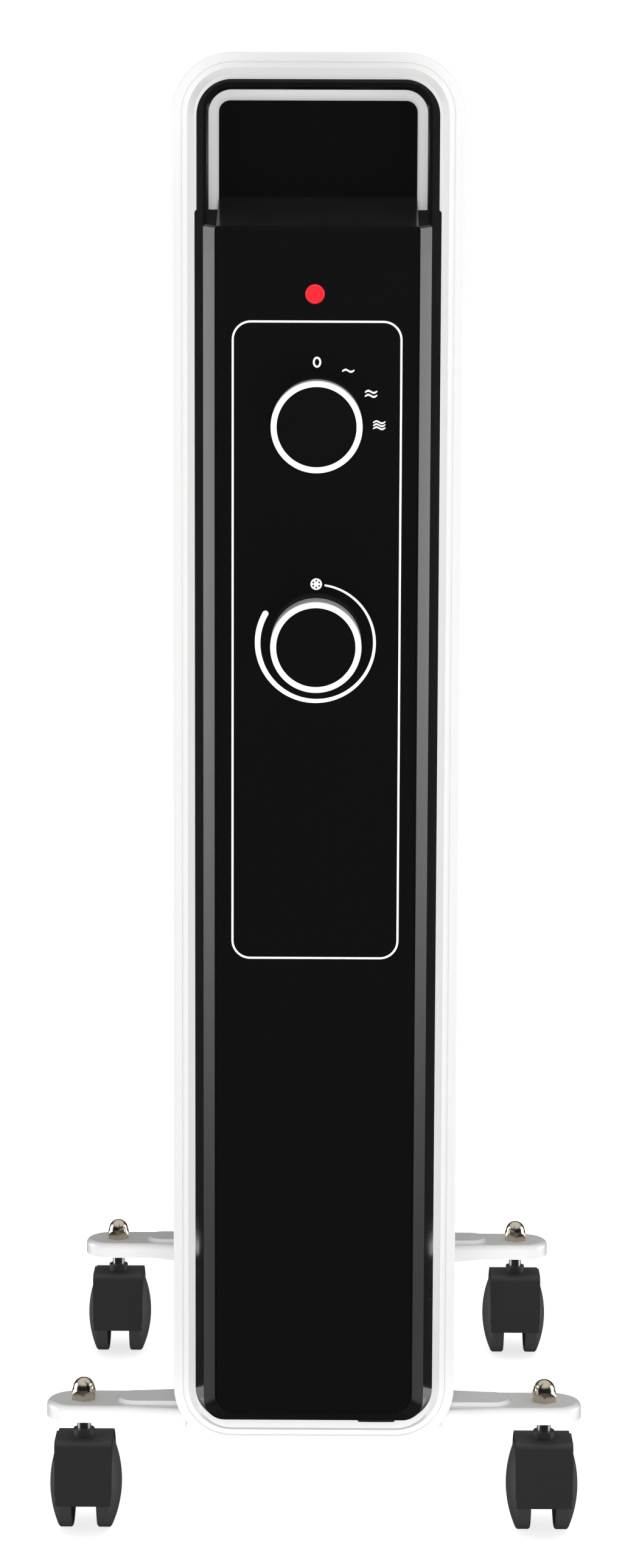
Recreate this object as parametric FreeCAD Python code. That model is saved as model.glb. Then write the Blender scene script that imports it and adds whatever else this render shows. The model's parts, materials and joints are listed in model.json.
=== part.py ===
import FreeCAD, Part
import math
import os

# Oil filled radiator heater on castered feet.  Millimetres, +Z up, the control panel faces -Y.
# The model is laid out with y = 0 on the seam plane of the first fin and z = 0 on the floor, and every
# piece is moved along Y at the end so that the origin lies on the floor at the centre of the overall box.

# ---------------------------------------------------------------- driving dimensions: fins
FIN_COUNT = 9
FIN_PITCH = 38.0          # seam plane to seam plane
FIN_W = 120.0
FIN_H = 588.0
FIN_CORNER_R = 25.0
SHEET_T = 0.6             # pressed sheet
HEM_W = 4.0               # folded safety edge
HEM_T = 1.4
PANEL_INSET = 6.0         # fin edge to the foot of the raised panel
PANEL_DRAFT = 3.4
PANEL_H = 7.5             # raised panel above the seam plane
HUB_R = 21.0
HUB_PORT_R = 14.0
HUB_RING_T = 1.2          # wall of the rings welded between the fins
HUB_WELD = 1.0            # weld fillet at each end of a ring
HUB_INSET = 36.0          # hub centre from the end of the fin
END_HUB_H = 11.0          # closed hubs on the last sheet, from its seam plane
ELEMENT_HUB_H = 10.0      # hub that takes the heating element, the same way
WEB_X = 20.0              # the two welded webs between the three oil channels
WEB_W = 14.0
WEB_DRAFT = 3.0
WEB_MARGIN = 16.0         # hub edge to web end

# ---------------------------------------------------------------- driving dimensions: casters
STEM_X = 100.0            # stem line from the centre plane
WHEEL_R = 20.0
WHEEL_TREAD = 6.2
WHEEL_DOME = 4.1
WHEEL_GAP = 10.8          # between the two wheels of a caster
WHEEL_WALL = 2.2
WHEEL_HUB_R = 6.0
WHEEL_EDGE = 0.8          # chamfer at the domed face
WHEEL_INNER_EDGE = 0.6    # and at the inner face
AXLE_R = 2.5
AXLE_IN_DOME = 2.0        # axle length inside each domed face
TRAIL = 12.0              # axle behind the stem
HOOD_CLEAR = 1.0
HOOD_T = 1.6
HOOD_W = 24.0
HOOD_TOP_W = 24.7
HOOD_RISE = 4.5           # hood top above the wheels
HOOD_TOP_BACK = 6.0       # flat top behind the stem
HOOD_FRONT_EDGE_Z = 15.5
HOOD_REAR_EDGE_Z = 19.0
HOOD_WEB_GAP = 0.4        # web to wheel face
HOOD_CORNER_R = 3.0
COLLAR_R = 4.6
COLLAR_H = 3.3
STEM_R = 3.0
STEM_DEPTH = 20.0         # stem length inside the hood
STEM_FREE = 7.6           # stem between collar and shoulder
SHOULDER_H = 4.0
SHOULDER_R = 5.5
RUN_FIT = 0.06            # radial clearance of turning fits
PLAY = 0.2                # axial clearance of turning fits
HOLE_CLEAR = 0.3          # radial clearance of bolt holes

# ---------------------------------------------------------------- driving dimensions: feet
FOOT_L = 232.0
FOOT_END_W = 26.0
FOOT_WING_W = 32.4        # widened stretch just outside the fins
FOOT_WING_X = 82.0        # end of the widened stretch
FOOT_TAPER = 24.0
FOOT_NOTCH_CLEAR = 1.2    # to the hems and raised panels of the two fins
FOOT_T = 1.8
FOOT_SKIRT = 7.0
FOOT_BELLY = 1.6          # the skirt is deeper in the middle
FOOT_EDGE_R = 2.5
PLATEAU_H = 1.3
PLATEAU_L = 172.0
PLATEAU_W = 18.0
U_BOLT_R = 2.5
U_BOLT_TAIL = 5.0         # thread beyond the wing nut
U_BOLT_GAP = 0.1
WASHER_R = 5.5
WASHER_T = 1.0
WING_NUT_R = 4.5
WING_NUT_H = 5.0
WING_SPAN = 25.0
WING_T = 2.2
WING_RISE = 3.0
WING_TIP = 3.5            # width of a wing at its tip
NUT_TAPER = 0.8
CAP_NUT_AF = 10.0
CAP_NUT_HEX_H = 4.6
CAP_NUT_H = 9.4
CAP_NUT_WALL = 1.4
CAP_NUT_STEP = 0.3        # dome inside the flats
CAP_NUT_TIP_GAP = 1.0     # stem end to the blind end of the nut

# ---------------------------------------------------------------- driving dimensions: control cover
COVER_DEPTH = 42.1        # raised panel of the first fin to the front face
COVER_BASE_W = 101.0
COVER_SHOULDER_W = 91.4   # width where the front bevel starts
COVER_BEVEL_W = 4.7
COVER_BEVEL_D = 4.5
COVER_BASE_UP = 13.2      # cover bottom above the fin bottom, at the fin
COVER_FRONT_UP = 29.4     # the same at the front face
COVER_TOP_DROP = 70.3     # front top edge below the fin top
COVER_TOP_RISE = 6.8      # top wall higher at the fin
COVER_CORNER_R = 14.0
COVER_TOP_R = 1.5
WALL = 2.5
LEDGE = 3.0               # rebate that carries the fascia
FASCIA_W = 80.6
FASCIA_GAP = 0.2
FASCIA_T = 2.5
FASCIA_CORNER_R = 8.0
RECESS_STANDOFF = 4.6     # recessed panel in front of the fin
RECESS_CREASE_DROP = 58.5
RECESS_TOP_DROP = 19.8
RECESS_CORNER_R = 4.6
HANDLE_BACK = 6.1         # handle loop, distances in front of the fin
HANDLE_FRONT = 34.1
HANDLE_INSET = 0.3        # loop inside the line of the cover's side walls
HANDLE_INNER_W = 89.0
HANDLE_BACK_DROP = 11.3   # loop top below the fin top
HANDLE_FRONT_DROP = 13.7
HANDLE_INNER_DROP = 15.5
HANDLE_R = 14.5
HANDLE_INNER_R = 9.5
LOOP_JOINT_DROP = 10.0    # joint of carry loop and cover, below the front top edge

# ---------------------------------------------------------------- driving dimensions: controls
KNOB_R = 18.25
KNOB_RING_W = 2.4
KNOB_PROUD = 17.5         # knob face in front of the fascia
KNOB_GAP = 0.8
KNOB_WALL = 2.0
KNOB_BOSS_R = 5.5
KNOB_RING_PROUD = 0.5
KNOB_EDGE_R = 0.8
POWER_DROP = 149.0        # centre below the fin top
THERMOSTAT_DROP = 236.7
SHAFT_R = 3.0
SHAFT_FLAT = 1.0
BUSH_R = 4.75
BUSH_SET_BACK = 0.5       # bush end behind the fascia's front
FASCIA_HOLE_FIT = 0.1
SWITCH_W = 32.0
SWITCH_D = 17.0
THERMOSTAT_W = 36.0
THERMOSTAT_D = 12.0
THERMOSTAT_DISC_R = 11.0
THERMOSTAT_DISC_T = 3.0
SHAFT_IN_SWITCH = 9.0
LAMP_R = 3.85
LAMP_PROUD = 1.0
LAMP_DROP = 97.0
LAMP_X = -0.9             # beside the line of the knobs
LAMP_L = 9.0
LAMP_HOLDER_R = 5.2
LAMP_HOLDER_L = 12.0
LAMP_PIN_R = 0.6
LAMP_PIN_L = 6.0
LAMP_PIN_X = 2.5
LAMP_FIT = 0.05
LAMP_EDGE = 0.9           # rounding of the lens

# ---------------------------------------------------------------- driving dimensions: inside the cover
PLATE_T = 0.8             # steel mounting plate
PLATE_W = 91.0
PLATE_MARGIN = 5.0        # above the cover bottom and below the cover top
PLATE_FLANGE = 16.0
PLATE_TAB_H = 20.0        # bent tab at each cover screw
PLATE_FIT = 0.1           # tabs to the inside of the cover
SHIELD_T = 0.5
SHIELD_W = 74.0
SHIELD_STANDOFF = 7.0
SHIELD_FIT = 2.0          # shield to a switch that reaches it
SHIELD_LOW_UP = 62.0      # shield bottom above the cover bottom
SPACER_R = 3.0
SPACER_INSET = 8.0
SCREW_R = 1.9
SCREW_HEAD_R = 3.6
SCREW_HEAD_H = 2.0
SCREW_L = 9.0
SCREW_SLOT_L = 4.8
SCREW_SLOT_W = 0.8
SCREW_SLOT_DEPTH = 1.0
SCREW_LOW_UP = 60.0       # side screws above the cover bottom
SCREW_HIGH_DROP = 60.0    # and below its top
SCREW_Y = 9.5             # in front of the fin
HUB_FIT = 0.3             # cover to the element's hub
GASKET_T = 1.0
GASKET_INSET = 0.5        # gasket edge inside the flange's flats
FLANGE_AF = 31.0
FLANGE_H = 7.0
TUBE_R = 4.0
TUBE_BEND_R = 6.0
TUBE_X = 7.0
TUBE_END_MARGIN = 30.0    # hairpin end to the last seam plane
TUBE_TAIL = 3.0           # tube in front of the flange
BEAD_R = 3.0
BEAD_L = 4.0
PIN_R = 1.2
PIN_L = 7.0
CUTOUT_R = 8.0
CUTOUT_H = 6.0
CUTOUT_UP = 34.0          # above the element
TAB_W = 6.3
TAB_T = 0.8
TAB_L = 8.0
CUTOUT_TAB_X = 5.0
SWITCH_TAB_X = 10.0
THERMOSTAT_TAB_X = 9.0
THERMOSTAT_TAB_Y = 4.0    # tabs behind the thermostat's front
BODY_CORNER_R = 3.0
TERMINAL_W = 36.0
TERMINAL_H = 16.0
TERMINAL_D = 12.0
TERMINAL_UP = 92.0
TERMINAL_SCREW_R = 2.6
TERMINAL_SCREW_UP = 3.0   # screw holes above the block's middle
TERMINAL_WIRE_R = 2.2
TERMINAL_BORE = 6.0
TIP_UP = 140.0            # tip-over switch pivot above the element
TIP_BOX_W = 28.0
TIP_BOX_H = 14.0
TIP_BOX_D = 12.0
TIP_BRACKET_T = 1.5
TIP_BRACKET_W = 22.0
TIP_BRACKET_H = 46.0
TIP_PIN_R = 1.5
TIP_HEAD_R = 2.5
TIP_HEAD_T = 1.2
TIP_ARM_W = 4.0
TIP_HUB_R = 4.0
TIP_HUB_D = 5.0
TIP_ARM = 22.0
TIP_WEIGHT_R = 8.0
TIP_GAP = 1.0
GLAND_SET_BACK = 12.1     # gland centre behind the front bevel, in the bottom wall
GLAND_GAP = 1.5           # beside the element's flange
GLAND_R = 5.6
GLAND_FLANGE_R = 8.0
GLAND_FLANGE_T = 0.8
GLAND_LIP_R = 7.0
GLAND_LIP_T = 3.2
GLAND_BORE_R = 3.7
GLAND_TAPER = 0.6
PLUG_R = 6.0
PLUG_H = 3.5
PLUG_TAPER = 1.0

# ---------------------------------------------------------------- derived places
PANEL_Y = -PANEL_H                                     # front of the first fin
PORT_Z = 2 * WHEEL_R + HOOD_RISE + COLLAR_H            # top of a caster's collar
FOOT_TOP_Z = PORT_Z + STEM_FREE + SHOULDER_H + FOOT_T
SEAT_Z = FOOT_TOP_Z + PLATEAU_H                        # the fin hubs rest here
HUB_LOW_Z = SEAT_Z + HUB_R
FIN_LOW_Z = HUB_LOW_Z - HUB_INSET
FIN_TOP_Z = FIN_LOW_Z + FIN_H
HUB_HIGH_Z = FIN_TOP_Z - HUB_INSET
LAST_SEAM_Y = (FIN_COUNT - 1) * FIN_PITCH
FOOT_FRONT_Y = FIN_PITCH / 2
FOOT_REAR_Y = LAST_SEAM_Y - FIN_PITCH / 2
FACE_Y = PANEL_Y - COVER_DEPTH
BEVEL_Y = FACE_Y + COVER_BEVEL_D
COVER_LOW_Z = FIN_LOW_Z + COVER_BASE_UP
COVER_FACE_LOW_Z = FIN_LOW_Z + COVER_FRONT_UP
COVER_FACE_TOP_Z = FIN_TOP_Z - COVER_TOP_DROP
COVER_TOP_Z = COVER_FACE_TOP_Z + COVER_TOP_RISE
KNOB_FACE_Y = FACE_Y - KNOB_PROUD - KNOB_RING_PROUD
HOOD_R = WHEEL_R + HOOD_CLEAR + HOOD_T
REAR_Y = FOOT_REAR_Y + TRAIL + HOOD_R
SHIFT_Y = -(KNOB_FACE_Y + REAR_Y) / 2
CORNERS = [(-STEM_X, FOOT_FRONT_Y), (STEM_X, FOOT_FRONT_Y), (-STEM_X, FOOT_REAR_Y), (STEM_X, FOOT_REAR_Y)]
CORNER_NAMES = ["front_left", "front_right", "rear_left", "rear_right"]
AXIS_X = FreeCAD.Vector(1, 0, 0)
AXIS_Y = FreeCAD.Vector(0, 1, 0)
AXIS_Z = FreeCAD.Vector(0, 0, 1)
EPS = 0.01                # overlap of shapes that are fused
OVER = 5.0                # reach of a cutting shape beyond what it cuts


# ---------------------------------------------------------------- small helpers
def vec(x, y, z):
    return FreeCAD.Vector(x, y, z)


def box(x0, x1, y0, y1, z0, z1):
    return Part.makeBox(x1 - x0, y1 - y0, z1 - z0, vec(x0, y0, z0))


def rod(r, start, axis, length):
    return Part.makeCylinder(r, length, start, axis)


def fuse(shapes):
    return shapes[0].fuse(shapes[1:]).removeSplitter()


def moved(shape, x, y, z=0.0):
    copy = shape.copy()
    copy.translate(vec(x, y, z))
    return copy


def rounded_rect(half_w, z0, z1, r_low, r_high, y):
    """Wire in a plane of constant y, symmetric about x = 0."""
    def corner(cx, cz, r, a0):
        mid, end = math.radians(a0 + 45), math.radians(a0 + 90)
        start = math.radians(a0)
        points = [vec(cx + r * math.cos(a), y, cz + r * math.sin(a)) for a in (start, mid, end)]
        return Part.Arc(*points).toShape(), points[0], points[2]

    x_high, z_high = half_w - r_high, z1 - r_high
    x_low, z_low = half_w - r_low, z0 + r_low
    corners = [corner(x_high, z_high, r_high, 0), corner(-x_high, z_high, r_high, 90),
               corner(-x_low, z_low, r_low, 180), corner(x_low, z_low, r_low, 270)]
    edges = []
    for i, (arc, _, end) in enumerate(corners):
        edges.append(arc)
        start = corners[(i + 1) % 4][1]
        if (start - end).Length > 1e-6:
            edges.append(Part.LineSegment(end, start).toShape())
    return Part.Wire(edges)


def plate_y(wire, thickness):
    """Extrude a wire that lies in a plane of constant y towards +Y."""
    return Part.Face(wire).extrude(vec(0, thickness, 0))


def frustum(wire_a, wire_b):
    return Part.makeLoft([wire_a, wire_b], True, True)


def prism_x(points, half_w):
    """Polygon of (y, z) points extruded between x = -half_w and +half_w."""
    ring = [vec(-half_w, y, z) for y, z in points]
    return Part.Face(Part.makePolygon(ring + ring[:1])).extrude(vec(2 * half_w, 0, 0))


def prism_z(points, z0, z1):
    ring = [vec(x, y, z0) for x, y in points]
    return Part.Face(Part.makePolygon(ring + ring[:1])).extrude(vec(0, 0, z1 - z0))


def hexagon_rod(across_flats, start, axis, length, turn=30):
    """Hexagonal bar; with a turn of 30 degrees two flats are square to the x axis."""
    r = across_flats / math.sqrt(3)
    side = axis.cross(AXIS_X).normalize()
    ring = []
    for i in range(7):
        a = math.radians(60 * i + turn)
        ring.append(start + AXIS_X * (r * math.cos(a)) + side * (r * math.sin(a)))
    return Part.Face(Part.makePolygon(ring)).extrude(axis * length)


def rounded(solid, radius, chosen):
    """Fillet the edges whose bounding box satisfies the test `chosen`."""
    edges = [e for e in solid.Edges if chosen(e.BoundBox)]
    return solid.makeFillet(radius, edges)


def flat_at_z(z):
    return lambda b: abs(b.ZMin - z) < 1e-4 and abs(b.ZMax - z) < 1e-4


def flat_at_y(y):
    return lambda b: abs(b.YMin - y) < 1e-4 and abs(b.YMax - y) < 1e-4


def export(name, solids):
    shape = solids if isinstance(solids, Part.Shape) else Part.makeCompound(solids)
    placed = moved(shape, 0, SHIFT_Y)
    for i, solid in enumerate(placed.Solids):
        if not solid.isValid():
            raise ValueError("%s solid %d is not valid" % (name, i))
    placed.exportStep("parts/%s.step" % name)
    print("%-24s %2d solids %10.1f mm3" % (name, len(placed.Solids), placed.Volume))


# ---------------------------------------------------------------- fins
def fin_outline(inset, y):
    r = FIN_CORNER_R - inset
    return rounded_rect(FIN_W / 2 - inset, FIN_LOW_Z + inset, FIN_TOP_Z - inset, r, r, y)


def web_outline(x, grow, y):
    half = WEB_W / 2 + grow
    z0 = HUB_LOW_Z + HUB_R + WEB_MARGIN - grow
    z1 = HUB_HIGH_Z - HUB_R - WEB_MARGIN + grow
    wire = rounded_rect(half, z0, z1, half - EPS, half - EPS, y)
    wire.translate(vec(x, 0, 0))
    return wire


def fin_sheet(hubs, ports):
    """Pressed sheet on the +Y side of its seam; hubs as (centre z, height), ports as (centre z, radius)."""
    plate = plate_y(fin_outline(0, 0), SHEET_T)
    hem = plate_y(fin_outline(0, 0), HEM_T).cut(plate_y(fin_outline(HEM_W, 0), HEM_T))
    hem = rounded(hem, HEM_T * 0.4, flat_at_y(HEM_T))
    panel = frustum(fin_outline(PANEL_INSET, 0), fin_outline(PANEL_INSET + PANEL_DRAFT, PANEL_H))
    inner = PANEL_INSET + SHEET_T
    cavity = frustum(fin_outline(inner, 0), fin_outline(inner + PANEL_DRAFT, PANEL_H - SHEET_T))
    outer = fuse([plate, hem, panel])
    for x in (-WEB_X, WEB_X):
        groove = frustum(web_outline(x, 0, SHEET_T), web_outline(x, WEB_DRAFT, PANEL_H + EPS))
        outer = outer.cut(groove)
        cavity = cavity.cut(frustum(web_outline(x, SHEET_T, 0), web_outline(x, WEB_DRAFT + SHEET_T, PANEL_H)))
    for z, height in hubs:
        outer = outer.fuse(rod(HUB_R, vec(0, 0, z), AXIS_Y, height))
        cavity = cavity.fuse(rod(HUB_R - SHEET_T, vec(0, 0, z), AXIS_Y, height - SHEET_T))
    sheet = outer.cut(cavity)
    for z, r in ports:
        sheet = sheet.cut(rod(r, vec(0, 0, z), AXIS_Y, FIN_PITCH))
    return sheet.removeSplitter()


def mirrored(shape):
    return shape.mirror(vec(0, 0, 0), AXIS_Y)


def hub_ring():
    """Ring welded between the raised panels of two fins, starting at y = 0."""
    length = FIN_PITCH - 2 * PANEL_H
    weld_r = HUB_R + HUB_WELD
    ring = fuse([rod(HUB_R, vec(0, 0, 0), AXIS_Y, length),
                 Part.makeCone(weld_r, HUB_R, HUB_WELD, vec(0, 0, 0), AXIS_Y),
                 Part.makeCone(HUB_R, weld_r, HUB_WELD, vec(0, length - HUB_WELD, 0), AXIS_Y)])
    return ring.cut(rod(HUB_R - HUB_RING_T, vec(0, -OVER, 0), AXIS_Y, length + 2 * OVER))


def make_fins():
    middle = fin_sheet([], [(HUB_LOW_Z, HUB_PORT_R), (HUB_HIGH_Z, HUB_PORT_R)])
    first = mirrored(fin_sheet([(HUB_LOW_Z, ELEMENT_HUB_H)], [(HUB_LOW_Z, HUB_PORT_R)]))
    last = fin_sheet([(HUB_LOW_Z, END_HUB_H), (HUB_HIGH_Z, END_HUB_H)], [(HUB_HIGH_Z, SCREW_R)])
    for k in range(FIN_COUNT):
        front = first if k == 0 else mirrored(middle)
        back = last if k == FIN_COUNT - 1 else middle
        y = k * FIN_PITCH
        export("fin_%d" % (k + 1), [moved(front, 0, y), moved(back, 0, y)])
    ring = hub_ring()
    gaps = [k * FIN_PITCH + PANEL_H for k in range(FIN_COUNT - 1)]
    export("hub_rings", [moved(ring, 0, y, z) for y in gaps for z in (HUB_LOW_Z, HUB_HIGH_Z)])


def make_filler_plug():
    y = LAST_SEAM_Y + END_HUB_H
    head = Part.makeCone(PLUG_R, PLUG_R - PLUG_TAPER, PLUG_H, vec(0, y, HUB_HIGH_Z), AXIS_Y)
    shank = rod(SCREW_R, vec(0, y - SHEET_T, HUB_HIGH_Z), AXIS_Y, SHEET_T)
    export("oil_filler_plug", fuse([head, shank]))


# ---------------------------------------------------------------- feet
def foot_blank(inset, z0, z1):
    half_l = FOOT_L / 2 - inset
    half_end = FOOT_END_W / 2 - inset
    half_wing = FOOT_WING_W / 2 - inset
    hem_y = FOOT_FRONT_Y - HEM_T / 2 - FOOT_NOTCH_CLEAR - inset
    hem_x = FIN_W / 2 + FOOT_NOTCH_CLEAR + inset
    panel_y = FOOT_FRONT_Y - PANEL_H - FOOT_NOTCH_CLEAR - inset
    panel_x = hem_x - PANEL_INSET
    ends = [rod(half_end, vec(s * (half_l - half_end), 0, z0), AXIS_Z, z1 - z0) for s in (-1, 1)]
    bar = box(half_end - half_l, half_l - half_end, -half_end, half_end, z0, z1)
    wing_x = FOOT_WING_X - inset
    flare = [(wing_x, half_end), (wing_x - FOOT_TAPER, half_wing)]
    upper = [(-x, y) for x, y in flare] + flare[::-1]
    wing = prism_z(upper + [(x, -y) for x, y in upper[::-1]], z0, z1)
    blank = fuse(ends + [bar, wing])
    for s in (-1, 1):
        for x, y in ((hem_x, hem_y), (panel_x, panel_y)):
            y0, y1 = sorted((s * y, s * FOOT_WING_W))
            blank = blank.cut(box(-x, x, y0, y1, z0, z1))
    return blank.removeSplitter()


def plateau(inset, z0, z1):
    half_l, half_w = PLATEAU_L / 2 - inset, PLATEAU_W / 2 - inset

    def oval(grow, z):
        wire = rounded_rect(half_l + grow, -half_w - grow, half_w + grow, half_w + grow - EPS,
                            half_w + grow - EPS, 0)
        wire.rotate(vec(0, 0, 0), AXIS_X, -90)
        wire.translate(vec(0, 0, z))
        return wire
    return frustum(oval(0, z0), oval(z0 - z1, z1))


def foot_plate():
    skirt_z = FOOT_TOP_Z - FOOT_SKIRT - FOOT_BELLY
    outer = foot_blank(0, skirt_z, FOOT_TOP_Z)
    outer = rounded(outer, FOOT_EDGE_R, flat_at_z(FOOT_TOP_Z))
    inner = foot_blank(FOOT_T, skirt_z, FOOT_TOP_Z - FOOT_T)
    outer = outer.fuse(plateau(0, FOOT_TOP_Z - EPS, SEAT_Z))
    inner = inner.fuse(plateau(FOOT_T, FOOT_TOP_Z - FOOT_T - EPS, SEAT_Z - FOOT_T))
    plate = outer.cut(inner)
    belly_z = skirt_z + FOOT_BELLY
    for s in (-1, 1):
        end = s * (FOOT_L / 2 + OVER)
        fin_edge_z = skirt_z - OVER * FOOT_BELLY / FOOT_WING_X
        wedge = prism_x([(s * FIN_W / 2, fin_edge_z), (s * FOOT_WING_X, belly_z),
                         (end, belly_z), (end, skirt_z - OVER)], FOOT_WING_W)
        wedge.rotate(vec(0, 0, 0), AXIS_Z, -90)
        plate = plate.cut(wedge)
        for x, r in ((STEM_X, STEM_R), (u_bolt_x(), U_BOLT_R)):
            depth = FOOT_SKIRT + FOOT_BELLY + OVER
            plate = plate.cut(rod(r + HOLE_CLEAR, vec(s * x, 0, skirt_z), AXIS_Z, depth))
    return plate.removeSplitter()


def u_bolt_x():
    return HUB_R + U_BOLT_GAP + U_BOLT_R


def washer_top_z():
    return SEAT_Z - FOOT_T


def u_bolt():
    x = u_bolt_x()
    low_z = washer_top_z() - WASHER_T - WING_NUT_H - U_BOLT_TAIL
    ring = Part.makeTorus(x, U_BOLT_R, vec(0, 0, HUB_LOW_Z), AXIS_Y)
    arch = ring.common(box(-2 * x, 2 * x, -x, x, HUB_LOW_Z, HUB_LOW_Z + 2 * x))
    legs = [rod(U_BOLT_R, vec(s * x, 0, low_z), AXIS_Z, HUB_LOW_Z - low_z) for s in (-1, 1)]
    return fuse([arch] + legs)


def u_bolt_washer():
    low = vec(0, 0, washer_top_z() - WASHER_T)
    return rod(WASHER_R, low, AXIS_Z, WASHER_T).cut(rod(U_BOLT_R + HOLE_CLEAR, low, AXIS_Z, WASHER_T))


def wing_nut():
    top = washer_top_z() - WASHER_T
    low = top - WING_NUT_H
    core = Part.makeCone(WING_NUT_R - NUT_TAPER, WING_NUT_R, WING_NUT_H, vec(0, 0, low), AXIS_Z)
    tip, root = WING_SPAN / 2, WING_NUT_R
    high = top - NUT_TAPER
    outline = [(0, high), (root, high), (tip, low + NUT_TAPER), (tip, low - WING_RISE),
               (tip - WING_TIP, low - WING_RISE), (root - NUT_TAPER, low + NUT_TAPER), (0, low + NUT_TAPER)]
    wings = []
    for s in (-1, 1):
        ring = [vec(s * x, -WING_T / 2, z) for x, z in outline]
        wings.append(Part.Face(Part.makePolygon(ring + ring[:1])).extrude(vec(0, WING_T, 0)))
    nut = fuse([core] + wings)
    return nut.cut(rod(U_BOLT_R + RUN_FIT, vec(0, 0, low - WING_RISE), AXIS_Z, WING_NUT_H + WING_RISE + OVER))


def caster_stem():
    low = PORT_Z - STEM_DEPTH + PLAY
    top = FOOT_TOP_Z + CAP_NUT_H - CAP_NUT_WALL - CAP_NUT_TIP_GAP
    shoulder = rod(SHOULDER_R, vec(0, 0, FOOT_TOP_Z - FOOT_T - SHOULDER_H), AXIS_Z, SHOULDER_H)
    return fuse([rod(STEM_R, vec(0, 0, low), AXIS_Z, top - low), shoulder])


def cap_nut():
    z = FOOT_TOP_Z
    base = hexagon_rod(CAP_NUT_AF, vec(0, 0, z), AXIS_Z, CAP_NUT_HEX_H)
    chamfer = Part.makeCone(CAP_NUT_AF * 0.66, CAP_NUT_AF * 0.48, CAP_NUT_HEX_H, vec(0, 0, z), AXIS_Z)
    r = CAP_NUT_AF / 2 - CAP_NUT_STEP
    neck_h = CAP_NUT_H - CAP_NUT_HEX_H - r
    dome = Part.makeSphere(r, vec(0, 0, z + CAP_NUT_H - r))
    dome = dome.common(box(-r, r, -r, r, z + CAP_NUT_HEX_H, z + CAP_NUT_H))
    neck = rod(r, vec(0, 0, z + CAP_NUT_HEX_H - CAP_NUT_STEP), AXIS_Z, max(neck_h, 0) + CAP_NUT_STEP)
    nut = fuse([base.common(chamfer), neck, dome])
    return nut.cut(rod(STEM_R + RUN_FIT, vec(0, 0, z), AXIS_Z, CAP_NUT_H - CAP_NUT_WALL))


def make_feet():
    plate = foot_plate()
    rows = (FOOT_FRONT_Y, FOOT_REAR_Y)
    export("front_foot", moved(plate, 0, FOOT_FRONT_Y))
    export("rear_foot", moved(plate, 0, FOOT_REAR_Y))
    export("u_bolts", [moved(u_bolt(), 0, y) for y in rows])
    legs = [(s * u_bolt_x(), y) for y in rows for s in (-1, 1)]
    export("u_bolt_washers", [moved(u_bolt_washer(), x, y) for x, y in legs])
    export("wing_nuts", [moved(wing_nut(), x, y) for x, y in legs])
    export("caster_stems", [moved(caster_stem(), x, y) for x, y in CORNERS])
    export("cap_nuts", [moved(cap_nut(), x, y) for x, y in CORNERS])


# ---------------------------------------------------------------- casters
def caster_hood():
    """Hood of a twin-wheel caster, stem axis on x = y = 0."""
    axle = vec(-HOOD_TOP_W, TRAIL, WHEEL_R)
    top = 2 * WHEEL_R + HOOD_RISE
    front = TRAIL - HOOD_R
    fender = rod(HOOD_R, vec(-HOOD_W / 2, TRAIL, WHEEL_R), AXIS_X, HOOD_W)
    block = prism_x([(front, WHEEL_R), (front, top), (HOOD_TOP_BACK, top),
                     (TRAIL, WHEEL_R + HOOD_R - HOOD_T), (TRAIL, WHEEL_R)], HOOD_TOP_W / 2)
    block = rounded(block, HOOD_CORNER_R, lambda b: abs(b.YMax - front) < 1e-4 and b.ZMin > top - 1e-4)
    hood = fuse([fender, block])
    back = TRAIL + HOOD_R
    below = prism_x([(front, -HOOD_R), (front, HOOD_FRONT_EDGE_Z), (back, HOOD_REAR_EDGE_Z),
                     (back, -HOOD_R)], HOOD_TOP_W)
    hood = hood.cut(below)
    web = WHEEL_GAP / 2 - HOOD_WEB_GAP
    hood = hood.fuse(rod(WHEEL_HUB_R, vec(-web, TRAIL, WHEEL_R), AXIS_X, 2 * web))
    for s in (-1, 1):
        x = web if s > 0 else -HOOD_TOP_W
        hood = hood.cut(rod(WHEEL_R + HOOD_CLEAR, vec(x, TRAIL, WHEEL_R), AXIS_X, HOOD_TOP_W - web))
    hood = hood.fuse(rod(COLLAR_R, vec(0, 0, top - EPS), AXIS_Z, COLLAR_H + EPS))
    hood = hood.cut(rod(STEM_R + RUN_FIT, vec(0, 0, PORT_Z - STEM_DEPTH), AXIS_Z, STEM_DEPTH + OVER))
    return hood.cut(rod(AXLE_R + RUN_FIT / 2, axle, AXIS_X, 2 * HOOD_TOP_W)).removeSplitter()


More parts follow.
